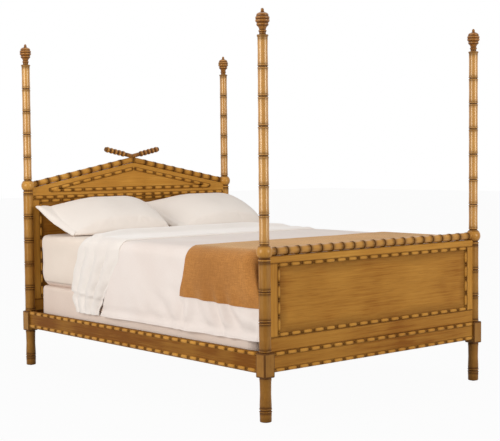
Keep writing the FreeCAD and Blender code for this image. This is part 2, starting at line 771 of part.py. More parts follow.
def bedding():
    mattress = upholstered(mattress_low, size.mattress_tall, mattress_side_shares)
    coded("box_spring", upholstered(box_low, size.box_tall, box_side_shares))
    coded("mattress", mattress)
    coded("fitted_sheet", fitted_sheet(mattress))
    inner = size.bed_wide / 2 + size.sheet_thick + size.cloth_clear
    top = sheet_top + size.coverlet_thick
    foot = bed_foot - size.sheet_thick - size.cloth_clear - size.coverlet_thick
    head = bed_head - size.coverlet_short
    coverlet = draped(foot, head, inner, size.coverlet_thick, top, size.coverlet_hem_up,
                      size.coverlet_flare, size.cloth_ripple, size.fold_pitch, (0, size.coverlet_sweep))
    apron = foot_apron(foot, inner, size.coverlet_thick, top)
    coded("coverlet", coverlet.fuse(apron).removeSplitter())
    start = head + size.seat_gap
    coded("top_sheet", draped(start, start + size.top_sheet_wide, inner, size.top_sheet_thick,
                              sheet_top + size.top_sheet_thick, size.top_sheet_hem_up,
                              size.top_sheet_ripple, size.top_sheet_ripple, size.sheet_fold_pitch,
                              (size.top_sheet_sweep, 0), size.top_sheet_swell))
    inner += size.coverlet_thick + size.coverlet_flare + size.cloth_ripple + size.seat_gap
    top += size.seat_gap + size.throw_thick
    foot -= size.seat_gap + size.throw_thick
    throw = draped(foot, foot + size.throw_wide, inner, size.throw_thick, top, size.throw_hem_up,
                   size.throw_flare, 0, size.throw_wide)
    coded("throw", throw.fuse(foot_apron(foot, inner, size.throw_thick, top)).removeSplitter())


def pillow_section(middle, out, full):
    # Crowned section: a flat base on the sheet, a back that leans on the headboard
    low = sheet_top + size.seat_gap
    front = bed_head - size.pillow_front * (1 - pillow_corner_share * (1 - full))
    back = bed_head + size.pillow_back - size.pillow_front * pillow_heel_share * (1 - full)
    base = front + size.pillow_lip
    rest = base + (back - base) * pillow_base_share * full
    tip = (front, low + size.pillow_seam + size.pillow_lip * full)
    rise = (back, low + size.pillow_seam + size.pillow_rise)
    run = math.hypot(rise[0] - tip[0], rise[1] - tip[1])
    path = [tip, (base, low), (rest + size.pillow_seam, low + size.pillow_seam * (1 - full)), rise]
    for step in range(1, size.crown_steps):
        share = step / size.crown_steps
        lift = (size.pillow_seam + size.pillow_crown * full) * math.sin(math.pi * share) / run
        path.append((rise[0] + (tip[0] - rise[0]) * share - (rise[1] - tip[1]) * lift,
                     rise[1] + (tip[1] - rise[1]) * share + (rise[0] - tip[0]) * lift))
    points = []
    for along, up in path:
        narrow = pillow_taper_share * (bed_head + size.pillow_back - along) / size.pillow_front
        points.append(FreeCAD.Vector(middle + out * size.pillow_wide / 2 * (1 - narrow), along, up))
    return points


def pillow(side):
    middle = sides[side] * (size.pillow_wide + size.pillow_space) / 2
    stations = [(-out, full) for out, full in pillow_shares[:0:-1]] + pillow_shares
    return coded(f"pillow_{side}", skin([pillow_section(middle, out, full) for out, full in stations]))


bedding()
for side in sides:
    pillow(side)
doc.recompute()

# Every object is sound and every piece is a closed solid before anything is written
for thing in doc.Objects:
    if "Invalid" in thing.State or "Error" in thing.State:
        raise ValueError(f"{thing.Label} failed: {thing.State}")
for piece in nodes:
    if piece.Shape.isNull() or not piece.Shape.isValid() or not piece.Shape.Solids:
        raise ValueError(f"{piece.Label} isn't a valid solid")
for piece in nodes:
    piece.Shape.exportStep(f"parts/{piece.Label}.step")
    print(piece.Label, len(piece.Shape.Solids), "solids, volume", round(piece.Shape.Volume))
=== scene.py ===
import math
import bpy
from mathutils import Matrix, Vector, noise


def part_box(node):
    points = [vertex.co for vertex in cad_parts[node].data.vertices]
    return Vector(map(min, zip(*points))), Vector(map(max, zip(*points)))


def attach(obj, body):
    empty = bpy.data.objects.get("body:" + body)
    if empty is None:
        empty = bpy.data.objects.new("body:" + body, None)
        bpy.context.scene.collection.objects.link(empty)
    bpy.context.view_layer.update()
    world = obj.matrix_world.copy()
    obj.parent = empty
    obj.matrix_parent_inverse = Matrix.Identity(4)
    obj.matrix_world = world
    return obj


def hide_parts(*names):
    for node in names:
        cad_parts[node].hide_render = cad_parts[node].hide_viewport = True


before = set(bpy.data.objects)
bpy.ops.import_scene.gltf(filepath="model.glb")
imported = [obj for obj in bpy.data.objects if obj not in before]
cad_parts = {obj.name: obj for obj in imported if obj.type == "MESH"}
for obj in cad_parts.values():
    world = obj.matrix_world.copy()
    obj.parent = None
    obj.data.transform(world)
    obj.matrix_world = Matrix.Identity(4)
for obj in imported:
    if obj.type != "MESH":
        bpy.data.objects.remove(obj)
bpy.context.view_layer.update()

# Four-poster bed in faux bamboo, made up with mattress, coverlet, sheet, throw and two pillows.
# Metres; X across the bed, Y towards the head, Z up.
mm = 0.001
sides = {"left": -1, "right": 1}
ends = {"foot": -1, "head": 1}


def nodeBox(name):
    low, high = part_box(name)
    return Vector(low), Vector(high)


# Plan of the bed, read from the frame's own nodes
plan = {
    "halfX": sum(corner.x for corner in nodeBox("finial_foot_right")) / 2,
    "halfY": sum(corner.y for corner in nodeBox("finial_head_right")) / 2,
    "postTop": nodeBox("upper_post_foot_left")[1].z,
    "railLow": nodeBox("foot_rail")[0].z,
    "railTop": nodeBox("foot_rail")[1].z,
}

# Edges sharper than this, in degrees, stay sharp under smooth shading
smoothUnder = {"turned": 50, "block": 25, "padded": 60, "cloth": 70}


# Selecting and editing

def deselectAll():
    if bpy.context.mode != "OBJECT":
        bpy.ops.object.mode_set(mode="OBJECT")
    bpy.ops.object.select_all(action="DESELECT")


def pick(*pieces):
    deselectAll()
    for piece in pieces:
        piece.select_set(True)
    bpy.context.view_layer.objects.active = pieces[0]


def editing(piece, on=True):
    if on:
        pick(piece)
    bpy.ops.object.mode_set(mode="EDIT" if on else "OBJECT")


def editingAll(piece):
    editing(piece)
    bpy.ops.mesh.select_all(action="SELECT")


def facedOutward(piece):
    editingAll(piece)
    bpy.ops.mesh.normals_make_consistent(inside=False)
    editing(piece, False)
    return piece


def settled(piece):
    # Leaves the object at the origin, with its place in its mesh
    pick(piece)
    bpy.ops.object.transform_apply(location=True, rotation=True, scale=True)
    return piece


def placed(piece, matrix):
    piece.matrix_world = matrix
    settled(piece)
    return facedOutward(piece) if matrix.determinant() < 0 else piece


def blankBlock(size, middle):
    deselectAll()
    bpy.ops.mesh.primitive_cube_add(size=1, location=middle)
    piece = bpy.context.active_object
    piece.scale = size
    return settled(piece)


def copied(piece, name):
    twin = piece.copy()
    twin.data = piece.data.copy()
    twin.name = twin.data.name = name
    bpy.context.collection.objects.link(twin)
    return twin


def joined(pieces, name):
    pick(*pieces)
    if len(pieces) > 1:
        bpy.ops.object.join()
    whole = bpy.context.active_object
    whole.name = whole.data.name = name
    return whole


def applied(piece, kind, **settings):
    # Adds a modifier and applies it
    pick(piece)
    modifier = piece.modifiers.new(kind.title(), kind)
    for key, value in settings.items():
        setattr(modifier, key, value)
    bpy.ops.object.modifier_apply(modifier=modifier.name)
    return piece


def smoothed(piece, kind):
    pick(piece)
    bpy.ops.object.shade_smooth_by_angle(angle=math.radians(smoothUnder[kind]))
    return piece


def glazedAndShaded(piece, amountAt):
    # Paints on every vertex how much glaze and painted shade lies there; less than none is a painted
    # highlight
    tint = piece.data.attributes.new("glazeAndShade", "FLOAT", "POINT")
    for number, vertex in enumerate(piece.data.vertices):
        tint.data[number].value = amountAt(vertex.co)
    return piece


def covered(piece, material):
    piece.data.materials.clear()
    piece.data.materials.append(material)


def dressed(piece, material, body, node):
    # Gives a finished piece its material and the body it moves with, and hides the part it stands in for
    covered(piece, material)
    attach(piece, body)
    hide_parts(node)
    return piece


def eased(share):
    share = min(1.0, max(0.0, share))
    return share * share * (3 - 2 * share)


def fadedBelow(value, limits):
    # 1 far below the first limit, easing to 0 at it over the second
    start, over = limits
    return eased((start - value) / over)


def risenAbove(value, limits):
    # 0 up to the first limit, easing to 1 over the second
    start, over = limits
    return eased((value - start) / over)


def between(pairs, at):
    # Value at a place on a smooth line through the given places
    for (low, first), (high, second) in zip(pairs, pairs[1:]):
        if at <= high:
            return first + (second - first) * eased((at - low) / (high - low))
    return pairs[-1][1]


# Materials

class Wire:
    # An output of a shader node; arithmetic on wires adds their Math nodes
    def __init__(self, tree, socket):
        self.tree, self.socket = tree, socket

    def maths(self, operation, *values):
        return addNode(self.tree, "ShaderNodeMath", {"operation": operation}, dict(enumerate(values)))

    def __add__(self, other):
        return self.maths("ADD", self, other)

    def __sub__(self, other):
        return self.maths("SUBTRACT", self, other)

    def __rsub__(self, other):
        return self.maths("SUBTRACT", other, self)

    def __mul__(self, other):
        return self.maths("MULTIPLY", self, other)

    def __pow__(self, other):
        return self.maths("POWER", self, other)

    __radd__, __rmul__ = __add__, __mul__

    def least(self, other):
        return self.maths("MINIMUM", self, other)

    def most(self, other):
        return self.maths("MAXIMUM", self, other)

    def sine(self):
        return self.maths("SINE", self)

    def spread(self, low, high, toLow=0.0, toHigh=1.0):
        # Straight change from one range to another, held at its ends
        return addNode(self.tree, "ShaderNodeMapRange", {"clamp": True},
                       {0: self, 1: low, 2: high, 3: toLow, 4: toHigh})

    def parts(self):
        axes = addNode(self.tree, "ShaderNodeSeparateXYZ", None, {0: self}).socket.node
        return [Wire(self.tree, output) for output in axes.outputs]


def addNode(tree, kind, settings=None, values=None, out=0):
    node = tree.nodes.new(kind)
    for key, value in (settings or {}).items():
        setattr(node, key, value)
    for key, value in (values or {}).items():
        if isinstance(value, Wire):
            tree.links.new(value.socket, node.inputs[key])
        else:
            node.inputs[key].default_value = value
    return Wire(tree, node.outputs[out])


def shade(red, green, blue):
    # Colour by its screen values from 0 to 255
    steps = [value / 255 for value in (red, green, blue)]
    return tuple(s / 12.92 if s <= 0.04045 else ((s + 0.055) / 1.055) ** 2.4 for s in steps) + (1.0,)


def blended(factor, first, second):
    return addNode(factor.tree, "ShaderNodeMix", {"data_type": "RGBA"},
                   {0: factor, 6: first, 7: second}, out=2)


def newMaterial(name, **constants):
    material = bpy.data.materials.new(name)
    material.use_nodes = True
    tree = material.node_tree
    shader = tree.nodes["Principled BSDF"]
    for key, value in constants.items():
        shader.inputs[key.replace("_", " ")].default_value = value
    point = addNode(tree, "ShaderNodeTexCoord", out=3)
    return material, tree, shader, point


def speckle(point, scale, detail=2.0, roughness=0.5, stretch=(1, 1, 1), turn=(0, 0, 0)):
    # Noise at a scale per metre, stretched along the piece
    moved = addNode(point.tree, "ShaderNodeMapping", None,
                    {"Vector": point, "Scale": stretch, "Rotation": turn})
    return addNode(point.tree, "ShaderNodeTexNoise", None,
                   {"Vector": moved, "Scale": scale, "Detail": detail, "Roughness": roughness})


def bumped(tree, height, distance, strength):
    return addNode(tree, "ShaderNodeBump", None,
                   {"Height": height, "Distance": distance, "Strength": strength})


def plug(tree, shader, **wires):
    for key, wire in wires.items():
        tree.links.new(wire.socket, shader.inputs[key.replace("_", " ")])


woodLook = {
    "light": shade(216, 160, 74),
    "honey": shade(186, 128, 48),
    "deep": shade(144, 86, 21),
    "glazeAndShade": shade(74, 39, 13),
    "varnishTint": (1.0, 0.78, 0.42, 1.0), "varnishRough": 0.25,
    # Patterns: scale per metre, detail and roughness
    "streak": (12.0, 5.0, 0.62), "pores": (42.0, 3.0, 0.6),
    "cloud": (3.2, 2.0, 0.5), "mottle": (38.0, 3.0, 0.6),
    "acrossGrain": 9.0, "glazeAndShadeCover": 0.93, "glazeAndShadePatchy": 0.7, "paintedHighlight": 0.4,
    # How deep the tone is: by streak, by cloud, and its shift
    "toneBy": (0.68, 0.72, -0.22), "honeyWide": 2.2,
    # How rough the surface is: by streak, by pores and by glaze
    "roughBy": (0.12, 0.08, 0.25),
    # The panel's soft rim is painted shade
    "edgeWide": 7 * mm, "edgeGlaze": 0.75, "panelShadeRim": 75 * mm, "rimShade": 0.44,
    "grainDeep": 0.1 * mm, "grainBump": 0.5,
}
# What flat boards and turned work don't share: pattern along the grain, pores, roughness, gloss, varnish
boardWork = {"alongGrain": 0.32, "pores": 0.3, "rough": 0.3, "gloss": 0.14, "varnish": 0.05}
turnedWork = {"alongGrain": 0.7, "pores": 0.12, "rough": 0.2, "gloss": 0.6, "varnish": 0.8}


def edgeGlaze(point, board, mottle, cloud, shadeRim):
    # Glaze left along the board's edges, and painted shade in a wide soft rim on a panel
    near = [(place - low).least(high - place) for place, low, high in zip(point.parts(), *board)]
    edge = near[0].least(near[1]).most(near[0].most(near[1]).least(near[2]))
    edge = edge + (mottle - 0.5) * woodLook["edgeWide"]
    glazeAndShade = edge.spread(0.0, woodLook["edgeWide"], woodLook["edgeGlaze"], 0.0)
    if shadeRim:
        glazeAndShade = glazeAndShade + (edge + (cloud - 0.5) * shadeRim).spread(shadeRim * 0.3, shadeRim, woodLook["rimShade"], 0.0)
    return glazeAndShade


def woodFinish(name, grain, tilt=0.0, board=None, toneAndShade=0.0, stainAndShade=0.0, shadeRim=None, shine=1.0):
    # Honey-coloured wood: streaks along the grain, brown glaze left in the recesses, painted shade and
    # painted highlight, satin varnish.
    # The grain axis is 0, 1 or 2; a board's corners let the glaze darken its edges, and a panel gets a rim of
    # painted shade.
    work = boardWork if board else turnedWork
    material, tree, shader, point = newMaterial(
        name, Specular_IOR_Level=work["gloss"] * shine, Specular_Tint=woodLook["varnishTint"],
        Coat_Roughness=woodLook["varnishRough"])
    stretch = [woodLook["acrossGrain"]] * 3
    stretch[grain] = work["alongGrain"]
    streak, pores = (speckle(point, *woodLook[pattern], stretch, (0, tilt, 0))
                     for pattern in ("streak", "pores"))
    cloud, mottle = (speckle(point, *woodLook[pattern]) for pattern in ("cloud", "mottle"))
    glazeAndShade = addNode(tree, "ShaderNodeAttribute", {"attribute_name": "glazeAndShade"}, out=2)
    if board:
        glazeAndShade = glazeAndShade + edgeGlaze(point, board, mottle, cloud, shadeRim)
    # Light to deep by streak and cloud, with honey in between
    byStreak, byCloud, shift = woodLook["toneBy"]
    # A finish's tone and shade shift it deeper
    warm = (streak * byStreak + cloud * byCloud + (shift + toneAndShade)).spread(0.2, 0.8)
    color = blended(warm, woodLook["light"], woodLook["deep"])
    color = blended((warm - 0.5) * (warm - 0.5) * -woodLook["honeyWide"] + 0.5, color, woodLook["honey"])
    color = blended(pores.spread(0.5, 0.8, 0.0, work["pores"]), color, woodLook["glazeAndShade"])
    # Glaze and painted shade from the attribute, and the finish's stain and shade, darken the wood together
    dark = (glazeAndShade + stainAndShade + (mottle - 0.5) * glazeAndShade * woodLook["glazeAndShadePatchy"]).spread(0.0, 1.0)
    color = blended(dark * woodLook["glazeAndShadeCover"], color, woodLook["glazeAndShade"])
    # Where the glaze is less than none, a painted highlight lifts the wood to a lighter tone
    color = blended((0.0 - glazeAndShade).spread(0.0, 1.0) * woodLook["paintedHighlight"], color, woodLook["light"])
    byStreak, byPores, byGlaze = woodLook["roughBy"]
    rough = (streak * byStreak + pores * byPores + dark * byGlaze + work["rough"]).spread(0.1, 0.7, 0.1, 0.7)
    # Varnish shines on the lighter wood and lies dull over the glaze and painted shade
    plug(tree, shader, Base_Color=color, Roughness=rough,
         Coat_Weight=(1 - dark) ** 1.5 * (work["varnish"] * shine))
    if board:
        grainHeight = streak * 0.4 + pores * 0.6
        plug(tree, shader, Normal=bumped(tree, grainHeight, woodLook["grainDeep"], woodLook["grainBump"]))
    return material


turnedUpright = woodFinish("honeyTurnedUpright", 2)
# The lower posts' finish: painted shade makes it a little darker, with less shine
turnedLowShaded = woodFinish("honeyTurnedLowShaded", 2, stainAndShade=0.1, shine=0.4)
turnedTop = woodFinish("honeyTurnedTop", 2, toneAndShade=0.3, stainAndShade=0.15, shine=0.55)
turnedAcross = woodFinish("honeyTurnedAcross", 0, shine=0.4)
turnedCrest = woodFinish("honeyTurnedCrest", 0, toneAndShade=0.3, stainAndShade=0.34, shine=0.6)
rubbedAcross = woodFinish("honeyRubbedAcross", 0, stainAndShade=0.06, shine=0.12)
rubbedAlong = woodFinish("honeyRubbedAlong", 1, stainAndShade=0.06, shine=0.12)

weaveLook = {
    "slant": 0.35, "wobble": 2.2, "wobblePitch": 0.06, "gloss": 0.2, "sheenRough": 0.5,
    # Thick places in the thread: scale in pitches, stretch along one thread and along the other
    "slubPitch": 0.11, "slubStretch": ((5.0, 0.6, 1.0), (0.6, 5.0, 1.0)), "threadDeep": 0.22,
    "cloud": (2.6, 3.0), "cloudShade": 0.5, "rough": 0.8,
}


def clothFinish(name, color, shadow, pitch, gap, own=False, slub=0.12, bump=0.25, sheen=0.15,
                bloom=(1, 1, 1, 1)):
    # Plain woven cloth: threads at a pitch with darker gaps, thick places in them, a soft cloudiness.
    # It follows the cloth's own measures, or else the piece's place.
    material, tree, shader, point = newMaterial(
        name, Sheen_Weight=sheen, Sheen_Roughness=weaveLook["sheenRough"], Sheen_Tint=bloom,
        Specular_IOR_Level=weaveLook["gloss"])
    lie = addNode(tree, "ShaderNodeUVMap", out=0) if own else point
    u, v, w = lie.parts()
    if not own:
        u, v = u + v * weaveLook["slant"], v * weaveLook["slant"] + w
    turns = 2 * math.pi / pitch
    wobble = speckle(lie, weaveLook["wobblePitch"] / pitch) * weaveLook["wobble"]
    thread = (u * turns + wobble).sine() * (v * turns + wobble).sine() * 0.5 + 0.5
    thickU, thickV = (speckle(lie, weaveLook["slubPitch"] / pitch, 3.0, 0.65, stretch)
                      for stretch in weaveLook["slubStretch"])
    slubs = (thickU + thickV) * 0.5
    cloud = speckle(point, *weaveLook["cloud"])
    tint = blended(cloud.spread(0.35, 0.7, 0.0, weaveLook["cloudShade"]), color, shadow)
    tint = blended(slubs.spread(0.42, 0.62, slub, 0.0), tint, shadow)
    tint = blended(thread.spread(0.0, 0.6, gap, 0.0), tint, shadow)
    height = thread * 0.6 + slubs * (0.5 + slub)
    plug(tree, shader, Base_Color=tint, Roughness=slubs * 0.1 + weaveLook["rough"],
         Normal=bumped(tree, height, pitch * weaveLook["threadDeep"], bump))
    return material


sheetCotton = clothFinish("cottonSheet", shade(241, 232, 223), shade(226, 213, 203), 0.9 * mm, 0.1, sheen=0.5)
coverletCotton = clothFinish("cottonCoverlet", shade(237, 226, 218), shade(223, 206, 195), 1.6 * mm, 0.15,
                             own=True, slub=0.2)
fittedCotton = clothFinish("cottonFitted", shade(238, 223, 208), shade(224, 204, 188), 0.9 * mm, 0.1)
springCover = clothFinish("mattressTicking", shade(234, 215, 200), shade(214, 192, 176), 1.4 * mm, 0.25,
                          slub=0.15)
pillowCotton = clothFinish("cottonPillow", shade(237, 228, 219), shade(226, 214, 203), 0.9 * mm, 0.1,
                           slub=0.1)
throwWool = clothFinish("tanThrow", shade(207, 141, 70), shade(140, 86, 36), 3.4 * mm, 0.5,
                        own=True, slub=0.5, bump=0.6, sheen=0.4, bloom=(1.0, 0.8, 0.5, 1.0))
print("materials ready")


# Turned work. Its tables hold rings in millimetres: height, step out from the radius, glaze (less than none
# is a painted highlight)

nodeLook = {
    # From the middle of a bamboo node to the waist beside it
    "rings": [(0.0, -3.2, 1.0), (2.6, -3.1, 1.0), (3.8, -1.2, 0.95), (5.0, 0.3, 0.3), (6.4, 0.7, -0.4),
              (7.8, 0.2, 0.0), (9.0, -1.0, 0.65), (10.4, -1.7, 0.85), (12.6, -1.5, 0.5), (24.0, -1.4, 0.1)],
    "waistIn": 1.9, "middle": 0.0,
}
railLook = {
    "rings": [(0.0, -3.4, 1.0), (1.4, -3.2, 1.0), (2.6, -0.8, 0.9), (4.4, 0.3, 0.8), (6.6, 0.4, 0.74),
              (9.4, -0.4, 0.62), (14.0, -1.3, 0.42), (22.0, -1.8, 0.05)],
    # Each segment's middle gets a painted highlight
    "waistIn": 2.0, "middle": -0.5,
}


def ringsAt(base, radius, table, way=1):
    # A table's rings, up or down from a height and out from a radius
    return [(base + way * at * mm, radius + out * mm, glazeAndShade) for at, out, glazeAndShade in table]


def segmentRings(low, high, count, radius, look):
    # Rings for a row of bamboo segments between two nodes
    pitch = (high - low) / count
    rings = []
    for place in range(count + 1):
        middle = low + pitch * place
        rings += ringsAt(middle, radius, look["rings"][:1])
        if place > 0:
            rings += ringsAt(middle, radius, look["rings"][1:], -1)
        if place < count:
            rings += ringsAt(middle, radius, look["rings"][1:])
            rings.append((middle + pitch / 2, radius - look["waistIn"] * mm, look["middle"]))
    return rings


def smoothRings(rings, steps):
    # More rings on a smooth curve through the given ones
    padded = [rings[0]] + rings + [rings[-1]]
    fine = []
    for before, start, stop, after in zip(padded, padded[1:], padded[2:], padded[3:]):
        for step in range(steps):
            t = step / steps
            fine.append(tuple(0.5 * (2 * b + (c - a) * t + (2 * a - 5 * b + 4 * c - d) * t * t
                                     + (3 * b - a - 3 * c + d) * t ** 3)
                              for a, b, c, d in zip(before, start, stop, after)))
    return fine + [rings[-1]]


def turnedPiece(name, rings, flats):
    # A round blank drawn out ring by ring, as on a lathe, and its glaze and painted shade put on by height
    deselectAll()
    rings = sorted(rings)
    low, radius, _ = rings[0]
    bpy.ops.mesh.primitive_circle_add(vertices=flats, radius=radius, fill_type="NGON", location=(0, 0, low))
    piece = bpy.context.active_object
    editingAll(piece)
    for (under, small, _), (over, large, _) in zip(rings, rings[1:]):
        bpy.ops.mesh.extrude_region_move(TRANSFORM_OT_translate={"value": (0, 0, over - under)})
        bpy.ops.transform.resize(value=(large / small, large / small, 1))
    settled(facedOutward(piece))
    glazedAndShaded(piece, lambda spot: min(rings, key=lambda ring: abs(ring[0] - spot.z))[2])
    piece.name = piece.data.name = name
    return smoothed(piece, "turned")


def setUp(pattern, name, spot, material, body, node, keptSide=0):
    # A copy of a turned pattern in its place, or only its half on one side of the plane X = 0
    piece = placed(copied(pattern, name), spot)
    if keptSide:
        editingAll(piece)
        bpy.ops.mesh.bisect(plane_co=(0, 0, 0), plane_no=(keptSide, 0, 0), use_fill=True, clear_inner=True)
        editing(piece, False)
    return dressed(piece, material, body, node)


post = {
    "flats": 48,
    "lowerDia": 62 * mm, "upperDia": 53 * mm, "footDia": 58 * mm,
    "floor": 3 * mm, "legRing": 60 * mm, "legWaistIn": 3.4 * mm,
    "blockLow": 220 * mm, "blockTall": 122 * mm, "blockSide": 68 * mm,
    "blockArris": 4 * mm, "blockEase": 1.2 * mm, "blockInset": 4.5 * mm,
    # Painted shade on the block: beside its arrises and all over
    "blockEdge": 7 * mm, "blockArrisShade": 0.92, "blockShade": 0.4,
    "ballDia": 81 * mm, "ballTall": 60 * mm, "ballSteps": 12,
    # Painted shade under and over the ball, each with its share of the half ball, and the painted highlight
    # round its middle
    "ballShadeUnder": (0.9, 0.4), "ballShadeOver": (0.7, 0.3), "ballHighlight": 0.25,
    "lowerCount": {"foot": 3, "head": 5}, "upperCount": {"foot": 7, "head": 5},
    "neckTall": 6 * mm, "neckBead": 9 * mm, "neckGap": 8 * mm,
    "collarDia": 56 * mm, "collarTall": 9 * mm, "collarGap": 9 * mm,
    "footRings": [(0, -5, 0.7), (1.2, -1.6, 0.5), (4, 0, 0.2)],
    "underBlock": [(-22, -2.4, 0.1), (-7, -0.8, 0.2), (-4, -1.6, 0.9), (1, -1.6, 1.0)],
    "neckRings": [(-6, -1.4, 0.45), (-2.5, -2.6, 0.95), (0, -2.4, 0.9), (1.6, -0.2, 0.1), (4, 0.8, -0.5),
                  (7, -0.4, 0.0), (9, -3.2, 0.9)],
    "underBall": [(-2.4, -4.6, 1.0)],
    "seatRings": [(-1, -1.0, 0.2), (1.2, -1.6, 0.5), (2.4, -4.2, 1.0), (5, -4.2, 1.0), (6.6, -1.4, 0.5)],
    "underCollar": [(-5, -1.2, 0.4), (-1.5, -1.2, 1.0)],
    "collarFoot": [(0, -1.8, 0.7), (1.4, 0, 0.7)],
    "collarHead": [(-2, 0, 0.7), (-0.5, -1.2, 0.4), (0, -4, 0.9)],
    # Painted shade that deepens towards the floor: height in metres, amount added to the glaze
    "shadeTowardsFloor": [(0.0, 0.5), (0.34, 0.4), (0.75, 0.22), (1.15, 0.0)],
    # The copies of one pattern are turned about their axes, in degrees by side and by end
    "turnBy": (37, 61),
}


def ballRings(middle):
    dia, reach = post["ballDia"], math.asin(post["ballTall"] / post["ballDia"])
    (under, underShare), (over, overShare) = post["ballShadeUnder"], post["ballShadeOver"]
    rings = []
    for step in range(post["ballSteps"] + 1):
        turn = reach * (2 * step / post["ballSteps"] - 1)
        # Painted highlight round the middle; painted shade under and over
        glazeAndShade = -post["ballHighlight"] * math.cos(turn)
        glazeAndShade += under * max(0.0, 1 - (turn + reach) / (underShare * reach))
        glazeAndShade += over * max(0.0, 1 - (reach - turn) / (overShare * reach))
        rings.append((middle + dia / 2 * math.sin(turn), dia / 2 * math.cos(turn), glazeAndShade))
    return rings


def legBlock():
    # Square block between leg and shaft, its upright arrises taken off and its faces inset; painted shade
    # darkens it all over and most beside the upright arrises
    side, tall = post["blockSide"], post["blockTall"]
    block = blankBlock((side, side, tall), (0, 0, post["blockLow"] + tall / 2))
    editing(block)
    bpy.ops.mesh.select_all(action="DESELECT")
    editing(block, False)
    for edge in block.data.edges:
        start, stop = (block.data.vertices[number].co for number in edge.vertices)
        edge.select = abs(start.z - stop.z) > tall / 2
    editing(block)
    bpy.ops.mesh.select_mode(type="EDGE")
    bpy.ops.mesh.bevel(offset=post["blockArris"], segments=1)
    bpy.ops.mesh.select_all(action="SELECT")
    bpy.ops.mesh.bevel(offset=post["blockEase"], segments=2)
    bpy.ops.mesh.select_all(action="DESELECT")
    editing(block, False)
    for face in block.data.polygons:
        face.select = face.area > side * tall / 2
    editing(block)
    bpy.ops.mesh.select_mode(type="FACE")
    bpy.ops.mesh.inset(thickness=post["blockInset"], use_individual=True)
    bpy.ops.mesh.select_mode(type="VERT")
    editing(block, False)

    # Painted shade, darkest beside the upright arrises
    def amountAt(spot):
        fromArris = side / 2 - min(abs(spot.x), abs(spot.y))
        return post["blockArrisShade"] if fromArris < post["blockEdge"] else post["blockShade"]

    return smoothed(glazedAndShaded(block, amountAt), "block")


def lowerPost(end):
    # Foot, leg with its ring, block, shaft of bamboo segments and ball
    node, foot = post["lowerDia"] / 2, post["footDia"] / 2
    floor, ring, blockLow = post["floor"], post["legRing"], post["blockLow"]
    ballMiddle = nodeBox(f"lower_post_{end}_left")[1].z - post["ballTall"] / 2
    ballLow = ballMiddle - post["ballTall"] / 2
    neck = ballLow - post["neckTall"] - post["neckBead"]
    rings = ringsAt(floor, foot, post["footRings"]) + [(ring / 2, foot, 0.1)]
    rings += ringsAt(ring, node, nodeLook["rings"][1:], -1) + ringsAt(ring, node, nodeLook["rings"])
    rings += [((ring + blockLow) / 2, node - post["legWaistIn"], 0.0)]
    rings += ringsAt(blockLow, node, post["underBlock"])
    shaft = segmentRings(blockLow + post["blockTall"], neck, post["lowerCount"][end], node, nodeLook)
    rings += [part for part in shaft if part[0] <= neck - post["neckGap"]]
    rings += ringsAt(neck, node, post["neckRings"]) + ringsAt(ballLow, node, post["underBall"])
    rings += ballRings(ballMiddle)
    # Painted shade that deepens towards the floor
    rings = [(up, out, glazeAndShade + between(post["shadeTowardsFloor"], up)) for up, out, glazeAndShade in rings]
    return joined([turnedPiece("lowerTurning", rings, post["flats"]), legBlock()], "lowerPost")


def upperPost(end):
    # Neck over the ball, shaft of bamboo segments and collar
    node, collar = post["upperDia"] / 2, post["collarDia"] / 2
    seat, top = nodeBox(f"lower_post_{end}_left")[1].z, plan["postTop"]
    collarLow = top - post["collarTall"]
    shaft = segmentRings(seat + post["neckTall"], collarLow, post["upperCount"][end], node, nodeLook)
    rings = [part for part in shaft if seat + post["neckGap"] < part[0] < collarLow - post["collarGap"]]
    rings += ringsAt(seat, node, post["seatRings"]) + ringsAt(collarLow, node, post["underCollar"])
    rings += ringsAt(collarLow, collar, post["collarFoot"]) + ringsAt(top, collar, post["collarHead"])
    return turnedPiece("upperPost", rings, post["flats"])


finialLook = {
    "flats": 40, "seatGap": 0.3 * mm,
    # Height over the collar, radius, glaze (less than none is a painted highlight)
    "rings": [(0, 16.5, 1.0), (3, 16.2, 0.8), (8, 16.4, 0.3), (12.5, 16.8, 0.8), (14, 19.0, 0.3),
              (17, 20.4, -0.3), (20, 19.0, 0.3), (21.5, 16.6, 0.9), (25, 16.4, 0.4), (32, 18.8, 0.0),
              (37, 22.0, 0.1), (41, 26.0, 0.6), (43.5, 28.4, 0.7), (47, 29.6, -0.1), (51, 29.0, -0.2),
              (54.5, 27.4, 0.8), (57, 29.4, 0.7),
              (61, 33.6, 0.1), (65.5, 35.0, -0.3), (69.5, 34.4, 0.0), (73, 32.2, 0.95), (76.5, 34.4, 0.2),
              (80, 34.9, -0.3), (84.5, 33.4, 0.0), (88, 29.2, 0.95), (91.5, 29.9, 0.2), (95.5, 29.2, -0.3),
              (100, 25.5, 0.0), (103.5, 19.5, 0.2), (106, 13.0, 0.5), (108.5, 9.2, 0.8), (112, 7.9, 0.3),
              (117, 8.1, -0.1), (121.5, 7.0, 0.1), (124.6, 4.4, 0.3), (126.4, 1.2, 0.4)],
}


def buildPosts():
    lower = {end: lowerPost(end) for end in ends}
    upper = {end: upperPost(end) for end in ends}
    rings = smoothRings(ringsAt(0, 0, finialLook["rings"]), 2)
    finial = turnedPiece("finialPattern", rings, finialLook["flats"])
    seat = Matrix.Translation((0, 0, plan["postTop"] + finialLook["seatGap"]))
    bySide, byEnd = post["turnBy"]
    for end, along in ends.items():
        for side, across in sides.items():
            spot = Matrix.Translation((across * plan["halfX"], along * plan["halfY"], 0))
            turned = spot @ Matrix.Rotation(math.radians(bySide * across + byEnd * along), 4, "Z")
            at = f"{end}_{side}"
            setUp(lower[end], f"lowerPost_{at}", spot, turnedLowShaded, "frame", f"lower_post_{at}")
            setUp(upper[end], f"upperPost_{at}", turned, turnedUpright, "frame", f"upper_post_{at}")
            setUp(finial, f"finial_{at}_turning", turned @ seat, turnedTop, f"finial_{at}", f"finial_{at}")
    for pattern in (*lower.values(), *upper.values(), finial):
        bpy.data.objects.remove(pattern)


buildPosts()
print("posts and finials turned")


# Turned rails of footboard and headboard

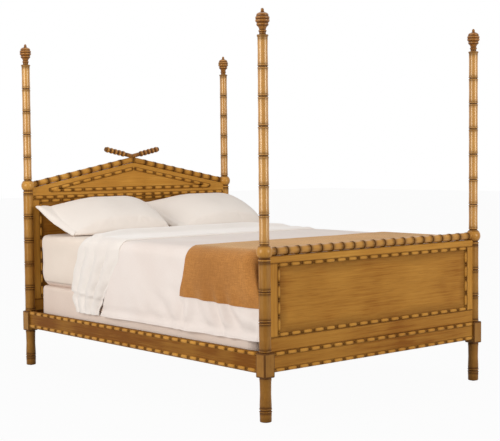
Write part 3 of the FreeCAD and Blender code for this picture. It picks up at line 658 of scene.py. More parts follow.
rail = {
    "flats": 36,
    "turningDia": 43 * mm, "turningCount": 19, "turningEnd": 22 * mm, "turningTip": [(0, -3.0, 0.6)],
    "rakeDia": 39 * mm, "rakeCount": 8, "rakeEnd": 22 * mm, "rakeStart": [(0, -4, 0.6)],
    "apexPlain": 100 * mm, "apexUp": 1280 * mm,
    "apexRings": [(-22, -1.5, 0.1), (-12, -0.6, 0.5), (0, -0.6, 0.9), (40, 0, 0.9)],
    "crestDia": 38 * mm, "crestLift": 23 * mm, "crestTilt": 12.3, "crestPlain": 60 * mm,
    "crestBulge": 31 * mm, "crestCount": 5, "crestDraw": 5.5 * mm,
    # Along the stick's plain part: share of it, glaze
    "crestStart": [(0.4, 0.1), (0.8, 0.3)],
    # Along a bulge: share of its length, share of the draw, glaze (less than none is a painted highlight)
    "bulgeRings": [(0.0, -0.15, 1.0), (0.09, 0.05, 0.9), (0.22, 0.62, 0.3), (0.38, 0.95, -0.2),
                   (0.5, 1.0, -0.4), (0.62, 0.95, -0.2), (0.78, 0.62, 0.3), (0.91, 0.05, 0.9)],
    # Past the last bulge: millimetres, share of the draw taken in, glaze
    "crestEnd": [(0, 1.1, 1.0), (1.5, 0.8, 0.5), (3, 1.1, 0.4), (4, 2.4, 0.5)],
}


def headboardSlope():
    # Height at which the rakes start, and their rise for each metre across
    start = nodeBox("lower_post_head_left")[1].z - post["ballTall"] / 2
    return start, (rail["apexUp"] - start) / plan["halfX"]


def footboardTurning():
    node = rail["turningDia"] / 2
    half = plan["halfX"] - post["ballDia"] / 2 - rail["turningEnd"]
    tip = plan["halfX"] - post["ballDia"] / 4
    rings = segmentRings(-half, half, rail["turningCount"], node, railLook)
    for way in (-1, 1):
        rings += ringsAt(way * half, node, railLook["rings"][1:], way)
        rings += ringsAt(way * tip, node, rail["turningTip"])
    turning = turnedPiece("footboardTurning", rings, rail["flats"])
    up = sum(corner.z for corner in nodeBox("footboard_turned_rail")) / 2
    spot = Matrix.Translation((0, -plan["halfY"], up)) @ Matrix.Rotation(math.radians(90), 4, "Y")
    dressed(placed(turning, spot), turnedAcross, "frame", "footboard_turned_rail")


def headboardRakes():
    node = rail["rakeDia"] / 2
    ballUp, rise = headboardSlope()
    long = plan["halfX"] * math.hypot(1, rise)
    start, last = post["ballDia"] / 2 + rail["rakeEnd"], long - rail["apexPlain"]
    rings = segmentRings(start, last, rail["rakeCount"], node, railLook)
    rings += ringsAt(start, node, railLook["rings"][1:], -1) + ringsAt(last, node, railLook["rings"][1:])
    rings += ringsAt(post["ballDia"] / 4, node, rail["rakeStart"]) + ringsAt(long, node, rail["apexRings"])
    pattern = turnedPiece("rakePattern", rings, rail["flats"])
    for side, across in sides.items():
        slope = across * math.atan(rise)
        tilt = Matrix.Rotation(slope - across * math.pi / 2, 4, "Y")
        spot = Matrix.Translation((across * plan["halfX"], plan["halfY"], ballUp))
        finish = woodFinish(f"honeyRake_{side}", 0, -slope, stainAndShade=0.08, shine=0.15)
        node = f"headboard_rake_{side}"
        setUp(pattern, f"headboardRake_{side}", spot @ tilt, finish, "frame", node, keptSide=across)
    bpy.data.objects.remove(pattern)


def crestSticks():
    out, draw = rail["crestDia"] / 2, rail["crestDraw"]
    plain, bulge, count = rail["crestPlain"], rail["crestBulge"], rail["crestCount"]
    rings = [(-rail["crestDia"], out - draw, 0.1)]
    rings += [(plain * share, out - draw, glazeAndShade) for share, glazeAndShade in rail["crestStart"]]
    rings += [(plain + (place + share) * bulge, out - draw * (1 - reach), glazeAndShade)
              for place in range(count) for share, reach, glazeAndShade in rail["bulgeRings"]]
    rings += [(plain + count * bulge + past * mm, out - draw * taken, glazeAndShade)
              for past, taken, glazeAndShade in rail["crestEnd"]]
    pattern = turnedPiece("crestPattern", smoothRings(sorted(rings), 2), rail["flats"])
    spot = Matrix.Translation((0, plan["halfY"], rail["apexUp"] + rail["crestLift"]))
    for side, across in sides.items():
        tilt = Matrix.Rotation(across * (math.pi / 2 - math.radians(rail["crestTilt"])), 4, "Y")
        node = f"crest_stick_{side}"
        setUp(pattern, f"crestStick_{side}_turning", spot @ tilt, turnedCrest, "frame", node, keptSide=across)
    bpy.data.objects.remove(pattern)


footboardTurning()
headboardRakes()
crestSticks()
print("rails turned")


# Bead mouldings

moulding = {
    "wide": 18 * mm, "proud": 8 * mm, "pitch": 78 * mm, "flats": 20,
    # Along half a bead: share of its length from the node, share of its radius, glaze (less than none is a
    # painted highlight)
    "rings": [(0.0, 0.84, 0.3), (0.014, 0.8, 0.5), (0.026, 0.6, 1.0), (0.056, 0.58, 1.0), (0.08, 0.7, 0.95),
              (0.12, 0.82, 0.7), (0.18, 0.91, 0.35), (0.28, 0.97, -0.2), (0.5, 1.0, -0.6)],
    # The bead's root takes painted shade
    "rootWide": 2.2 * mm, "rootShade": 0.9, "weld": 0.05 * mm,
    # The ground under the beads, darkened with painted shade, wider than they are on its open sides
    "quirk": 4 * mm, "quirkDeep": 0.8 * mm, "quirkEase": 0.3 * mm, "quirkShade": 0.6,
    # Where the tympanum's sticks stop short of each other, in half widths
    "baseStop": 3, "footStop": 1.5, "peakStop": 0.6,
}
outwards = {"foot": (0, -1, 0), "left": (-1, 0, 0), "right": (1, 0, 0)}


def beadPattern():
    # One bead, turned and split down its length; it lies along X with its round side towards -Y
    pitch, out = moulding["pitch"], moulding["wide"] / 2
    half = [(share * pitch, reach * out, glazeAndShade) for share, reach, glazeAndShade in moulding["rings"]]
    rings = half + [(pitch - at, reach, glazeAndShade) for at, reach, glazeAndShade in half[:-1]]
    bead = turnedPiece("beadPattern", rings, moulding["flats"])
    editingAll(bead)
    bpy.ops.mesh.bisect(plane_co=(0, 0, 0), plane_no=(0, -1, 0), use_fill=False, clear_inner=True)
    editing(bead, False)
    for polygon in bead.data.polygons:
        polygon.select = abs(polygon.normal.z) > 0.999  # the flat ends
    editing(bead)
    bpy.ops.mesh.delete(type="FACE")
    editing(bead, False)
    # Painted shade along the bead's root, where it meets the ground
    tint = bead.data.attributes["glazeAndShade"]
    for number, vertex in enumerate(bead.data.vertices):
        if abs(vertex.co.y) < moulding["rootWide"]:
            tint.data[number].value = moulding["rootShade"]
    squat = Matrix.Diagonal((1, moulding["proud"] / out, 1, 1))
    return placed(bead, Matrix.Rotation(math.radians(90), 4, "Y") @ squat)


beadUnit = beadPattern()


def quirkStrip(long, low, high):
    # The ground that shows as a dark line of painted shade beside the beads
    deep = moulding["quirkDeep"]
    strip = blankBlock((long, deep, high - low), (long / 2, -deep / 2, (low + high) / 2))
    applied(strip, "BEVEL", width=moulding["quirkEase"], segments=1)
    return glazedAndShaded(strip, lambda spot: moulding["quirkShade"])


def beadStick(start, stop, facing="foot", low=-1, high=1):
    # Row of whole beads from one point to the other, and the ground under it
    run = Vector(stop) - Vector(start)
    count = max(1, round(run.length / moulding["pitch"]))
    long = count * moulding["pitch"]
    stick = copied(beadUnit, "beadStick")
    applied(stick, "ARRAY", count=count, use_relative_offset=False, use_constant_offset=True,
            constant_offset_displace=(moulding["pitch"], 0, 0), use_merge_vertices=True,
            merge_threshold=moulding["weld"])
    editingAll(stick)
    bpy.ops.mesh.region_to_loop()
    bpy.ops.mesh.edge_face_add()
    editing(stick, False)
    edge, quirk = moulding["wide"] / 2, moulding["quirk"]
    stick = joined([stick, quirkStrip(long, low * quirk - edge, high * quirk + edge)], "beadStick")
    along, back = run.normalized(), -Vector(outwards[facing])
    turned = Matrix((along * (run.length / long), back, along.cross(back))).transposed().to_4x4()
    return placed(stick, Matrix.Translation(start) @ turned)


def fitMouldings(sticks, node, finish=rubbedAcross):
    whole = joined(sticks, node.replace("mouldings", "beads").replace("moulding", "beads"))
    dressed(whole, finish, "frame", node)


def railMouldings():
    # A stick along the rail's lower edge and one along its upper; the ground widens only inwards
    edge = moulding["wide"] / 2
    rows = ((plan["railLow"] + edge, 0, 1), (plan["railTop"] - edge, -1, 0))
    low, high = nodeBox("side_rail_right")
    for side, across in sides.items():
        face, start, stop = across * high.x, -across * low.y, -across * high.y
        sticks = [beadStick((face, start, up), (face, stop, up), side, *reach) for up, *reach in rows]
        fitMouldings(sticks, f"side_rail_mouldings_{side}", rubbedAlong)
    low, high = nodeBox("foot_rail")
    sticks = [beadStick((low.x, low.y, up), (high.x, low.y, up), "foot", *reach) for up, *reach in rows]
    fitMouldings(sticks, "foot_rail_mouldings")


def panelMouldings(end):
    low, high = nodeBox(f"{end}board_panel_mouldings")
    wide, face = moulding["wide"], high.y
    sticks = [beadStick((low.x, face, up), (high.x, face, up))
              for up in (low.z + wide / 2, high.z - wide / 2)]
    sticks += [beadStick((across, face, low.z + wide), (across, face, high.z - wide))
               for across in (low.x + wide / 2, high.x - wide / 2)]
    fitMouldings(sticks, f"{end}board_panel_mouldings")


def headboardMouldings():
    low, high = nodeBox("headboard_cross_moulding")
    middle = (low.z + high.z) / 2
    fitMouldings([beadStick((low.x, high.y, middle), (high.x, high.y, middle))], "headboard_cross_moulding")
    low, high = nodeBox("tympanum_mouldings")
    rise = headboardSlope()[1]
    edge = moulding["wide"] / 2
    baseStop, footStop, peakStop = (moulding[stop] * edge for stop in ("baseStop", "footStop", "peakStop"))
    peak, base = high.z - edge * math.hypot(1, rise), low.z + edge
    run = (peak - base) / rise
    sticks = [beadStick((baseStop - run, high.y, base), (run - baseStop, high.y, base))]
    for across in sides.values():
        foot = Vector((across * (run - footStop), high.y, base + footStop * rise))
        top = Vector((across * peakStop, high.y, peak - peakStop * rise))
        sticks.append(beadStick(top, foot) if across > 0 else beadStick(foot, top))
    fitMouldings(sticks, "tympanum_mouldings")


railMouldings()
for end in ends:
    panelMouldings(end)
headboardMouldings()
bpy.data.objects.remove(beadUnit)
print("mouldings laid")


# Flat boards keep their solids; they get softened arrises and wood with glazed edges

boards = {
    "side_rail_left": 1, "side_rail_right": 1, "foot_rail": 0, "head_rail": 0,
    "footboard_panel": 0, "headboard_panel": 0, "footboard_top_rail": 0, "footboard_bottom_rail": 0,
    "headboard_bottom_rail": 0, "headboard_pediment": 0,
    "footboard_stile_left": 2, "footboard_stile_right": 2,
    "headboard_stile_left": 2, "headboard_stile_right": 2,
    "ledger_left": 1, "ledger_right": 1, "slats": 0,
}
boardArris = {"wide": 1.2 * mm, "weld": 0.02 * mm, "angle": 40}

# Painted shade on some boards, most on the rails low down: shift towards the deep colour, and shade laid all
# over
shadedBoards = {"side_rail": (0.25, 0.5), "foot_rail": (0.15, 0.2), "head_rail": (0.3, 0.42),
          "bottom_rail": (0.15, 0.16), "panel": (0.14, 0.07)}


def finishBoards():
    for name, grain in boards.items():
        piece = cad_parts[name]
        # Painted shade for the boards listed above
        toneAndShade, stainAndShade = next((look for part, look in shadedBoards.items() if part in name), (0.0, 0.0))
        # Panels get a soft rim of painted shade
        shadeRim = woodLook["panelShadeRim"] if name.endswith("panel") else None
        covered(piece, woodFinish(f"honey_{name}", grain, board=nodeBox(name), toneAndShade=toneAndShade, stainAndShade=stainAndShade,
                                  shadeRim=shadeRim))
        piece.modifiers.new("Weld", "WELD").merge_threshold = boardArris["weld"]
        bevel = piece.modifiers.new("Bevel", "BEVEL")
        bevel.width, bevel.segments = boardArris["wide"], 2
        bevel.limit_method, bevel.angle_limit = "ANGLE", math.radians(boardArris["angle"])


def plainFinish(name, color, **constants):
    # Small hidden metal and felt pieces, a little uneven
    material, tree, shader, point = newMaterial(name, **constants)
    cloud = speckle(point, 60.0, 3.0)
    tint = blended(cloud * 0.5, color, tuple(value * 0.6 for value in color[:3]) + (1.0,))
    plug(tree, shader, Base_Color=tint, Roughness=cloud * 0.3 + 0.25)
    return material


finishBoards()
for name, look in (("foot_glides", plainFinish("feltBlack", shade(40, 36, 32))),
                   ("rail_hook_plates", plainFinish("zincSteel", shade(170, 170, 165), Metallic=1.0)),
                   ("post_hook_plates", plainFinish("zincSteelSeat", shade(160, 160, 156), Metallic=1.0))):
    covered(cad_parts[name], look)
print("boards finished")


# Bedding

def ripple(x, y, z):
    return noise.noise(Vector((x, y, z)))


def ringSolid(name, rings, openBelow):
    # Closed or bottomless form through rings of points
    count = len(rings[0])
    points = [point for ring in rings for point in ring]
    faces = [[row + place, row + (place + 1) % count, row + count + (place + 1) % count, row + count + place]
             for row in range(0, count * (len(rings) - 1), count) for place in range(count)]
    faces.append(list(range(count * (len(rings) - 1), count * len(rings))))
    if not openBelow:
        faces.append(list(range(count))[::-1])
    mesh = bpy.data.meshes.new(name)
    mesh.from_pydata(points, [], faces)
    piece = bpy.data.objects.new(name, mesh)
    bpy.context.collection.objects.link(piece)
    if not openBelow:
        facedOutward(piece)
    return smoothed(piece, "padded")


bedForm = {
    "corner": 60 * mm, "cornerSteps": 8, "spacing": 16 * mm, "topShares": (0.9, 0.7, 0.45, 0.2),
    "springFill": 1.0, "mattressFill": 0.9,
    # Share of the height, draw-in of the side
    "mattressSides": [(0.0, 44 * mm), (0.015, 34 * mm), (0.05, 22 * mm), (0.11, 11 * mm), (0.19, 4 * mm),
                      (0.3, 2 * mm), (0.45, 3.5 * mm), (0.6, 3.5 * mm), (0.68, 2.2 * mm), (0.76, 0.0),
                      (0.86, 0.0), (0.92, 3 * mm), (0.965, 11 * mm), (0.99, 24 * mm), (1.0, 40 * mm)],
    "springSides": [(0.0, 8 * mm), (0.01, 4 * mm), (0.03, 1.5 * mm), (0.1, 0.5 * mm), (0.5, 0.0),
                    (0.85, 0.5 * mm), (0.93, 2.5 * mm), (0.97, 7 * mm), (0.99, 13 * mm), (1.0, 22 * mm)],
    "dent": 1.4 * mm, "drawnIn": 0.4 * mm,
    # The fitted sheet: its stand-off, where its hem starts, its puckers and pulls, and what it turns under
    "sheetOut": 1.1 * mm, "sheetThick": 0.7 * mm, "hemShare": 0.062, "hemOut": 0.8 * mm, "drop": 300 * mm,
    "pucker": 0.9 * mm, "puckerPitch": 34 * mm, "puckerEnd": (0.3, 0.24), "puckerStray": 5,
    "pull": 1.2 * mm, "pullEnd": (0.8, 0.4), "pullTurns": (22, 14), "pullCorner": 1.6,
}


def planOutline(low, high, drawn):
    # Rounded rectangle round the bed; each point comes with its outward direction
    corner, steps = bedForm["corner"], bedForm["cornerSteps"]
    halfX, halfY = (high.x - low.x) / 2 - corner, (high.y - low.y) / 2 - corner
    middle = (low + high) / 2
    ring = []
    for number, (across, along) in enumerate(((1, 1), (-1, 1), (-1, -1), (1, -1))):
        for step in range(steps + 1):
            turn = math.pi / 2 * (number + step / steps)
            out = Vector((math.cos(turn), math.sin(turn), 0))
            center = middle + Vector((across * halfX, along * halfY, 0))
            ring.append((center + out * (corner - drawn), out))
        run = 2 * (halfX if number % 2 == 0 else halfY)
        count = round(run / bedForm["spacing"])
        start, out = ring[-1]
        heading = Vector((-out.y, out.x, 0))
        ring += [(start + heading * run * step / count, out) for step in range(1, count)]
    return ring


def upholstered(name, node, sideShares, swell, grown=0.0, above=0.0, openBelow=False):
    # Soft box through the outlines at the given heights; swell adds its dents and puckers
    low, high = nodeBox(node)
    middle = (low + high) / 2
    rings = []
    for share, drawn in sideShares:
        if share >= above:
            up = low.z + (high.z - low.z) * share + (grown if share > 0.5 else 0)
            outline = [point + out * swell(point, out, share)
                       for point, out in planOutline(low, high, drawn - grown)]
            rings.append([(point.x, point.y, up) for point in outline])
    for share in bedForm["topShares"]:
        rings.append([(middle.x + (x - middle.x) * share, middle.y + (y - middle.y) * share, z)
                      for x, y, z in rings[-1]])
    return ringSolid(name, rings, openBelow)


def dents(point, out, share):
    return bedForm["dent"] * ripple(point.x * 3, point.y * 3, share * 2) - bedForm["drawnIn"]


def puckers(point, out, share):
    # Elastic puckers at the lower edge, and pulls at the corners
    run = point.x * out.y + point.y * out.x
    low = fadedBelow(share, bedForm["puckerEnd"])
    corner = eased(bedForm["pullCorner"] * abs(out.x * out.y)) * fadedBelow(share, bedForm["pullEnd"])
    turns = run * 2 * math.pi / bedForm["puckerPitch"] + bedForm["puckerStray"] * ripple(run * 6, 0, 1)
    upTurns, runTurns = bedForm["pullTurns"]
    pull = bedForm["pull"] * corner * math.sin(share * upTurns + run * runTurns)
    return dents(point, out, share) + (bedForm["pucker"] * math.sin(turns) + bedForm["hemOut"]) * low + pull


def clothArea(piece):
    # The cloth shows both its faces, so its area is half of theirs
    return sum(polygon.area for polygon in piece.data.polygons) / 2


def buildMattress():
    springSides, mattressSides = (
        [ring[:2] for ring in smoothRings([(share, drawn, 0) for share, drawn in bedForm[key]], 2)]
        for key in ("springSides", "mattressSides"))
    spring = upholstered("boxSpring", "box_spring", springSides, dents)
    dressed(spring, springCover, "box_spring", "box_spring")
    mattress = upholstered("mattressBody", "mattress", mattressSides, dents)
    dressed(mattress, springCover, "mattress", "mattress")
    sheet = upholstered("fittedSheet", "mattress", mattressSides, puckers, grown=bedForm["sheetOut"],
                        above=bedForm["hemShare"], openBelow=True)
    applied(sheet, "SOLIDIFY", thickness=bedForm["sheetThick"], offset=1.0)
    dressed(sheet, fittedCotton, "mattress", "fitted_sheet")
    low, high = nodeBox("mattress")
    wide, long = high.x - low.x + 2 * bedForm["drop"], high.y - low.y + 2 * bedForm["drop"]
    min(clothArea(sheet), wide * long)


drape = {
    "half": 777 * mm, "foot": -999 * mm, "head": 150 * mm, "bend": 66 * mm,
    "top": 823.4 * mm, "hem": 384 * mm, "footHem": 470 * mm, "flare": 11 * mm, "fullDrop": 420 * mm,
    "columns": 260, "rows": 124, "thick": 3 * mm, "hemWide": 11 * mm, "hemProud": 2.4 * mm,
    "headSweep": 172 * mm, "sweepLong": 750 * mm, "cornerFold": 11 * mm,
    "ear": 74 * mm, "earDrop": 300 * mm, "earShare": 0.8,
    # Long waves: height, turns for each metre along, up and across, start
    "waves": [(4.2 * mm, 9.5, 2.4, 0.8, 0.0), (2.6 * mm, 19.0, -9.0, 0.0, 1.3)],
    # Soft swells: height, scale along, up and both, shift
    "swells": [(7.5 * mm, 4.0, 3.2, -1.0, 0.0), (3.2 * mm, 11.0, 8.0, 0.0, 3.0)],
    # Folds by the foot corner: height, turns for each metre, lean along and up, where they fade out
    "fold": 16 * mm, "foldTurns": 46, "foldLean": (0.9, -0.42),
    "foldEnd": (0.05, 0.75), "foldTop": (0.68, 0.18), "foldStray": 5, "foldIn": 0.3,
    "calm": 0.7, "calmOver": (0.09, 0.07), "cornerFolds": 4, "cornerForm": (0.6, 0.7),
    # The cord in the hem stands out; over it the cloth is drawn in
    "cord": 5 * mm, "cordEnd": (0.024, 0.012), "hollow": 6 * mm, "hollowAt": 42 * mm, "hollowWide": 20 * mm,
    # Undulations of the top: height, scale across and along, shift
    "topSwells": [(1.6 * mm, 2.2, 2.6, 4), (0.9 * mm, 7, 6, 9)],
}


def lieOver(across, along, half, foot, bend, top):
    # Lays a flat point over the bed's sides and foot, round soft shoulders.
    # Gives the place, the way out from the bed, the drop below the top and the corner's share
    side = 1 if across >= 0 else -1
    overSide = max(0.0, abs(across) - (half - bend))
    overFoot = max(0.0, (foot + bend) - along)
    reach = max(overSide, overFoot)
    if reach <= 0:
        return Vector((across, along, top)), Vector((0, 0, 1)), 0.0, 0.0
    if overSide > overFoot:
        angle = math.pi / 4 * overFoot / overSide
    else:
        angle = math.pi / 2 - math.pi / 4 * overSide / overFoot
    lean = min(reach / bend, math.pi / 2)
    out, down = bend * math.sin(lean), bend * (1 - math.cos(lean)) + max(0.0, reach - math.pi / 2 * bend)
    plain = Vector((side * math.cos(angle), -math.sin(angle), 0))
    center = Vector((side * (half - bend) if overSide else across,
                     foot + bend if overFoot else along, top - down))
    away = plain * math.sin(lean) + Vector((0, 0, math.cos(lean)))
    return center + plain * out, away, down, angle / (math.pi / 2)


def overShoulder(level, bend, drop):
    # Flat length of cloth that lies level, turns over a soft shoulder and hangs down
    return level + (math.pi / 2 - 2) * bend + drop


def clothSheet(name, columns, rows, flat, placeOf):
    # A grid of cloth whose points are put in place by their flat measures
    deselectAll()
    bpy.ops.mesh.primitive_grid_add(x_subdivisions=columns, y_subdivisions=rows, size=2)
    piece = bpy.context.active_object
    piece.name = piece.data.name = name
    for corner in piece.data.uv_layers.active.data:
        corner.uv = (corner.uv.x * flat[0], corner.uv.y * flat[1])
    for vertex in piece.data.vertices:
        vertex.co = placeOf(vertex.co.x * flat[0] / 2, (vertex.co.y + 1) / 2 * flat[1])
    return piece


def coverletOut(place, down, turned):
    # How far the hanging coverlet stands out: flare, soft undulations, folds round the foot corner
    low = eased(down / drape["fullDrop"])
    x, y, z = place
    overHem = z - drape["hem"]
    out = drape["flare"]
    out += sum(tall * math.sin(y * along + z * up + x * across + start)
               for tall, along, up, across, start in drape["waves"])
    out += sum(tall * ripple(y * along + z * both, z * up, x + shift)
               for tall, along, up, both, shift in drape["swells"])
    if turned < 0.9:
        near = fadedBelow(y, drape["foldEnd"]) * fadedBelow(z, drape["foldTop"])
        near *= 1 - drape["calm"] * fadedBelow(overHem, drape["calmOver"])
        lean = y * drape["foldLean"][0] + z * drape["foldLean"][1]
        turn = lean * drape["foldTurns"] + drape["foldStray"] * ripple(y * 4, z * 4, 2)
        out += near * drape["fold"] * (math.sin(turn) - drape["foldIn"])
    if 0 < turned < 1:
        turn = turned * math.pi
        level, swing = drape["cornerForm"]
        out += drape["cornerFold"] * math.sin(turn) * (level + swing * math.cos(turn * drape["cornerFolds"]))
    out *= low
    if turned < 0.3:
        out += drape["cord"] * fadedBelow(overHem, drape["cordEnd"])
        out -= drape["hollow"] * math.exp(-((overHem - drape["hollowAt"]) / drape["hollowWide"]) ** 2)
    return out


def cornerEar(down, turned):
    # The spare cloth of a foot corner hangs out towards the post
    share = turned / drape["earShare"]
    if not 0 < share < 1:
        return Vector((0, 0, 0))
    return Vector((0, -drape["ear"] * eased(down / drape["earDrop"]) * math.sin(math.pi * share) ** 0.8, 0))


def coverletUp(x, y):
    return sum(tall * ripple(x * across, y * along, shift)
               for tall, across, along, shift in drape["topSwells"])


def coverletPlace(across, fromHead):
    place, away, down, turned = lieOver(across, drape["head"] - fromHead, drape["half"], drape["foot"],
                                        drape["bend"], drape["top"])
    if turned < 1 and down > 0:
        near = 1 - eased(fromHead / drape["sweepLong"])
        place.y += drape["headSweep"] * near * (down / (drape["top"] - drape["hem"])) ** 1.05
    if away.z > 0.99:
        place.z += coverletUp(place.x, place.y)
    outward = Vector((away.x, away.y, 0))
    return place + outward * coverletOut(place, down, turned) + cornerEar(down, turned)


def hemmed(piece, flat, wide, proud):
    # A hem turned over along the cloth's edges
    fromEdge = {}
    for corner, spot in zip(piece.data.loops, piece.data.uv_layers.active.data):
        u, v = spot.uv
        fromEdge[corner.vertex_index] = min(u, v, flat[0] - u, flat[1] - v)
    normals = [vertex.normal.copy() for vertex in piece.data.vertices]
    for vertex, normal in zip(piece.data.vertices, normals):
        vertex.co += normal * proud * (1 - eased((fromEdge[vertex.index] - wide) / (0.35 * wide)))


def thickened(piece, thick):
    applied(piece, "SOLIDIFY", thickness=thick, offset=0.0)
    return smoothed(piece, "cloth")


def buildCoverlet():
    bend, top = drape["bend"], drape["top"]
    flat = (2 * overShoulder(drape["half"], bend, top - drape["hem"]),
            overShoulder(drape["head"] - drape["foot"], bend, top - drape["footHem"]))
    coverlet = clothSheet("coverletCloth", drape["columns"], drape["rows"], flat, coverletPlace)
    hemmed(coverlet, flat, drape["hemWide"], drape["hemProud"])
    thickened(coverlet, drape["thick"])
    dressed(coverlet, coverletCotton, "mattress", "coverlet")


throwForm = {
    "wide": 520 * mm, "top": 829.6 * mm, "hem": 560 * mm, "footHem": 600 * mm,
    "columns": 230, "rows": 72, "thick": 2.4 * mm, "hemWide": 9 * mm, "hemProud": 0.7 * mm,
    "headSweep": 62 * mm, "sweepLong": 400 * mm, "sag": 14 * mm, "sagLong": 500 * mm,
    # How far it lies outside the coverlet at the sides and the foot, and its own unevenness
    "overSide": 5 * mm, "overFoot": 5.5 * mm, "above": 0.9 * mm, "outside": 1.5 * mm, "uneven": 2.4 * mm,
}


def buildThrow():
    bend, top = drape["bend"] + throwForm["overSide"], throwForm["top"]
    half, foot = drape["half"] + throwForm["overSide"], drape["foot"] - throwForm["overFoot"]
    drop = top - throwForm["hem"]
    flat = (2 * overShoulder(half, bend, drop),
            overShoulder(throwForm["wide"], bend, top - throwForm["footHem"]))

    def placeOf(across, along):
        place, away, down, turned = lieOver(across, foot + throwForm["wide"] - along, half, foot, bend, top)
        if turned < 1 and down > 0:
            near = 1 - eased(along / throwForm["sweepLong"])
            place.y += throwForm["headSweep"] * near * (down / drop) ** 1.3
            place.z -= throwForm["sag"] * (down / drop) * eased(along / throwForm["sagLong"])
        if away.z > 0.99:
            place.z += coverletUp(place.x, place.y)
            place.z += throwForm["above"] * (1 + ripple(place.x * 5, place.y * 5, 7))
        out = coverletOut(place, down, turned) + throwForm["outside"]
        out += throwForm["uneven"] * ripple(place.y * 7, place.z * 5, 3)
        return place + Vector((away.x, away.y, 0)) * out + cornerEar(down, turned)

    throw = clothSheet("throwWeave", throwForm["columns"], throwForm["rows"], flat, placeOf)
    hemmed(throw, flat, throwForm["hemWide"], throwForm["hemProud"])
    thickened(throw, throwForm["thick"])
    dressed(throw, throwWool, "throw", "throw")


turnback = {
    "front": 138 * mm, "rear": 640 * mm, "rearSide": 525 * mm, "spare": 30 * mm,
    "half": 782 * mm, "bend": 68 * mm, "top": 829 * mm, "hemDown": 448 * mm,
    "columns": 250, "rows": 104, "thick": 1.6 * mm, "roll": 22 * mm, "rollLift": 3.6 * mm, "rollIn": 2 * mm,
    # Drop below the top, and where the bunch's front and rear edges are there
    "frontEdge": [(0.0, 0.138), (0.09, 0.146), (0.226, 0.222), (0.326, 0.287), (0.36, 0.316), (0.425, 0.358),
                  (0.45, 0.362)],
    "rearEdge": [(0.0, 0.525), (0.106, 0.566), (0.231, 0.610), (0.318, 0.632), (0.33, 0.614), (0.365, 0.634),
                 (0.45, 0.596)],
    # Gathers: their number, and their heights on the shoulder, down the side and lost again at the tail
    "gathers": 3.7, "gatherTalls": (2.0 * mm, 8.5 * mm, 2.5 * mm), "gatherForm": (0.85, 0.55, 1.5),
    "gatherStray": 0.22, "gatherShift": 0.10, "gatherDrop": 200 * mm, "tailFrom": (0.3, 0.12),
    # The crease under which the tail hangs loose
    "crease": 338 * mm, "creaseWide": 8 * mm, "creaseProud": 1.5 * mm, "creaseSlant": 30 * mm,
    "tailIn": 7.5 * mm, "tailWave": 1.4 * mm, "tailSwell": 2 * mm,
    "bulge": 14 * mm, "bulgeDrop": 160 * mm, "shoulderIn": 260 * mm, "shoulderWide": 300 * mm,
    # Where the rear edge swings forward at the sides, from the bed's middle
    "rearSwing": (0.40, 0.33), "rearStray": 9 * mm,
    # The soft ridge in front of the pillows, its place and width by share; the edges in front and behind
    "ridge": 27 * mm, "ridgeAt": (0.80, 0.17), "ridgeUneven": 2.2 * mm,
    "frontUp": 5 * mm, "frontWide": (0.85, 0.15), "rearDown": 8.5 * mm, "rearWide": (0.86, 0.14),
}


def turnbackFold(share, down, across, shoulder):
    # Gathers run from the top down the side, along the bunch
    wave = share * turnback["gathers"] + turnback["gatherStray"] * ripple(across * 3, share * 3, 2)
    wave += turnback["gatherShift"] if across >= 0 else -turnback["gatherShift"]
    onShoulder, onSide, atTail = turnback["gatherTalls"]
    tall = onShoulder * shoulder + onSide * eased(down / turnback["gatherDrop"])
    tall -= atTail * risenAbove(down, turnback["tailFrom"])
    power, level, gain = turnback["gatherForm"]
    fold = (abs(math.sin(wave * math.pi)) ** power - level) * tall * gain
    past = (down - turnback["crease"] + turnback["creaseSlant"] * (share - 0.5)) / turnback["creaseWide"]
    tail = eased(past)
    fold += turnback["creaseProud"] * math.exp(-past ** 2) - turnback["tailIn"] * tail
    if tail > 0:
        fold += turnback["tailWave"] * math.sin(share * 23 + down * 30)
        fold += turnback["tailSwell"] * ripple(share * 7, down * 20, 6)
    return fold * (eased(share / 0.07) * 0.8 + 0.2)


def turnbackRidge(share, across, shoulder):
    at, wide = turnback["ridgeAt"]
    ridge = turnback["ridge"] * (1 - 0.5 * shoulder) * math.exp(-((share - at) / wide) ** 2)
    ridge += turnback["frontUp"] * eased(share / 0.06) * (1 - risenAbove(share, turnback["frontWide"]))
    ridge -= turnback["rearDown"] * risenAbove(share, turnback["rearWide"])
    return ridge + turnback["ridgeUneven"] * ripple(across * 3, share * 4, 8) * eased(share / 0.2)


